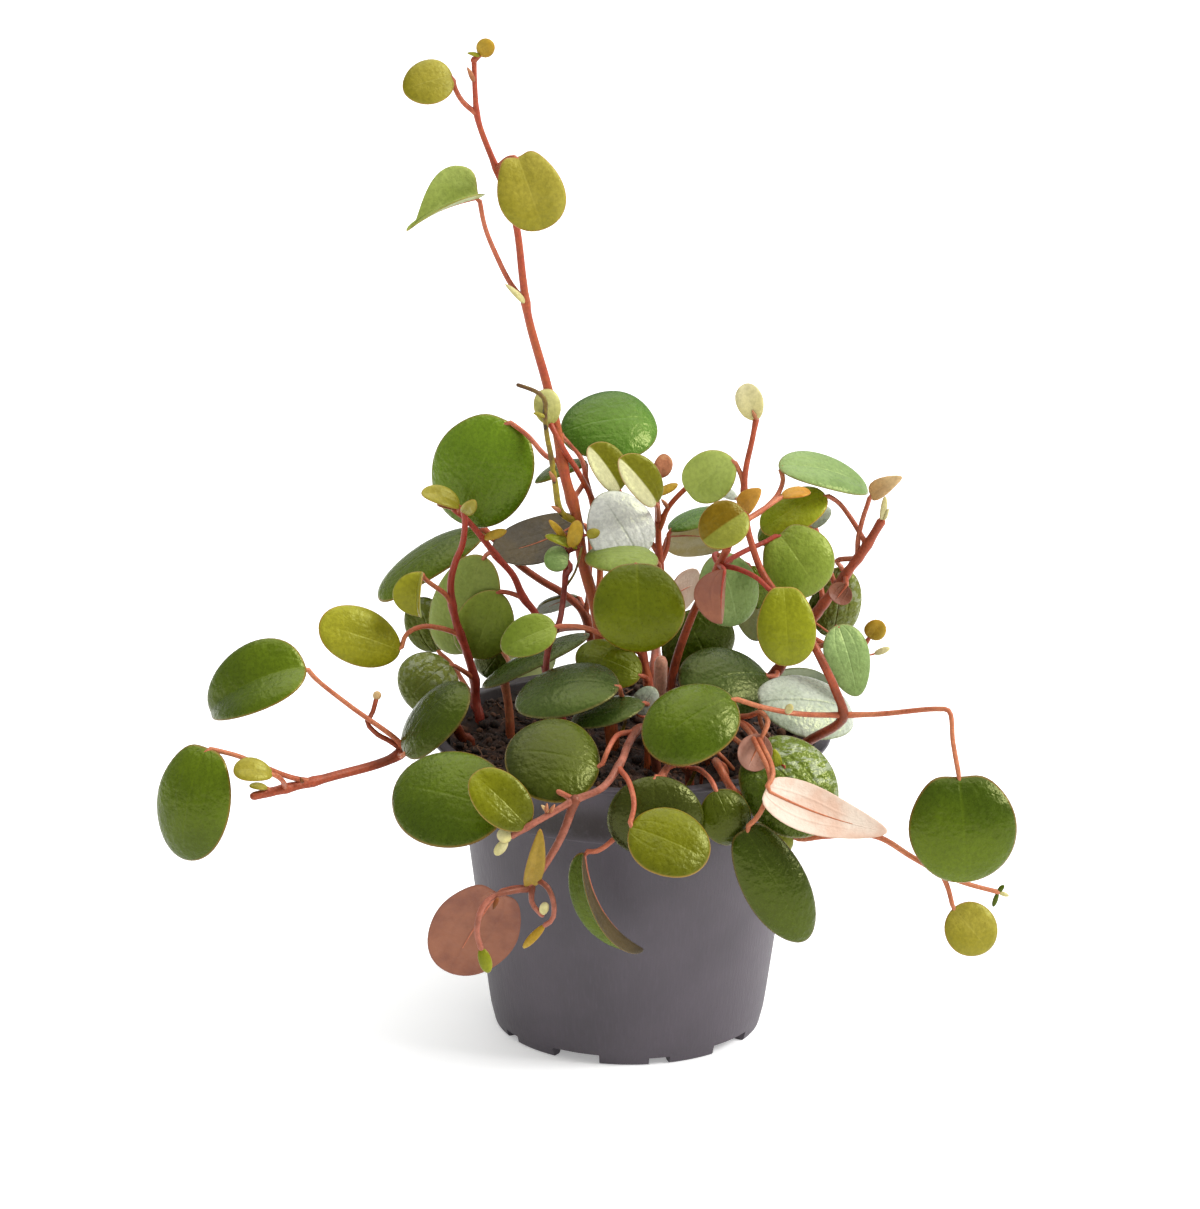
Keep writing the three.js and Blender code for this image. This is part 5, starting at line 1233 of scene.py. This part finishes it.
def foot_cutter():
    """One object of all the blocks that the foot gaps and drain slots are cut with."""
    corners, faces = [], []

    def add_block(flat, low, high):
        first = len(corners)
        corners.extend((x, y, level) for level in (low, high) for x, y in flat)
        block = [(3, 2, 1, 0), (4, 5, 6, 7), (0, 1, 5, 4), (1, 2, 6, 5), (2, 3, 7, 6), (3, 0, 4, 7)]
        faces.extend(tuple(first + corner for corner in face) for face in block)

    for repeat in range(FOOT_REPEATS):
        turn = 360 / FOOT_REPEATS * repeat
        inner, outer = FOOT_RADIUS - FOOT_WIDTH - 1, FOOT_RADIUS + 1
        for middle, width, height in (WIDE_GAP, NARROW_GAP):
            low, high = middle + turn - width / 2, middle + turn + width / 2
            ring = ((inner, low), (outer, low), (outer, high), (inner, high))
            add_block([radius * outward(angle) for radius, angle in ring], -1, height)
        length, width, radius = DRAIN_SLOT
        out, side = outward(WIDE_GAP[0] + turn), outward(WIDE_GAP[0] + turn + 90)
        ways = ((-1, -1), (1, -1), (1, 1), (-1, 1))
        slot = [out * (radius + a * width / 2) + side * b * length / 2 for a, b in ways]
        add_block(slot, BASE_HEIGHT - WALL, BASE_HEIGHT + 2 * WALL)
    mesh = bpy.data.meshes.new("foot_cutter")
    mesh.from_pydata((np.array(corners) * MM).tolist(), [], faces)
    made = shown("foot_cutter", mesh)
    made.hide_render = True
    return made


def outward(degrees):
    """The level direction at an angle from the front, anticlockwise from above."""
    return np.array([math.sin(math.radians(degrees)), -math.cos(math.radians(degrees))])


pot_piece()


# ------------------------------------------------------------------ floor, light and camera
def floor_material():
    nodes = Nodes("pale_floor")
    cloud = nodes.noise(6, 2, 0.5)
    colour = nodes.mix(cloud, (0.88, 0.88, 0.88, 1), (0.9, 0.9, 0.9, 1))
    return nodes.finish(colour, 0.9, Emission_Color=(1, 1, 1, 1), Emission_Strength=0.3)


def floor():
    mesh = bpy.data.meshes.new("floor")
    ways = ((-1, -1), (1, -1), (1, 1), (-1, 1))
    mesh.from_pydata([(FLOOR_HALF * x, FLOOR_HALF * y, 0) for x, y in ways], [], [(0, 1, 2, 3)])
    mesh.materials.append(floor_material())
    shown("floor", mesh)


def far_softbox(name, toward, spread, strength):
    """A softbox so far off that it lights the whole floor evenly."""
    lamp = bpy.data.lights.new(name, "SUN")
    lamp.energy = strength
    lamp.angle = math.radians(spread)
    back = unit(np.array(toward, float))
    side = unit(np.cross([0.01, 1, 0.02], back))
    axes = np.stack([side, np.cross(back, side), back], 1)
    shown(name, lamp).matrix_world = Matrix(axes.tolist()).to_4x4()


def sky(strength):
    world = bpy.data.worlds.new("studio")
    world.use_nodes = True
    shade = world.node_tree.nodes["Background"]
    shade.inputs["Color"].default_value = (1, 1, 1, 1)
    shade.inputs["Strength"].default_value = strength
    bpy.context.scene.world = world


def camera():
    lens = bpy.data.cameras.new("camera")
    lens.sensor_width = SENSOR_WIDTH
    lens.lens = FOCAL_PIXELS * SENSOR_WIDTH / PICTURE_HEIGHT
    lens.clip_start, lens.clip_end = CLIP_RANGE
    made = shown("camera", lens)
    axes = np.stack([RIGHT, UP, -FORWARD], 1)
    made.matrix_world = Matrix.Translation(EYE * MM) @ Matrix(axes.tolist()).to_4x4()
    bpy.context.scene.camera = made


floor()
sky(SKY_STRENGTH)
for softbox in SOFTBOXES:
    far_softbox(*softbox)
camera()
bpy.context.scene.view_settings.view_transform = "Standard"

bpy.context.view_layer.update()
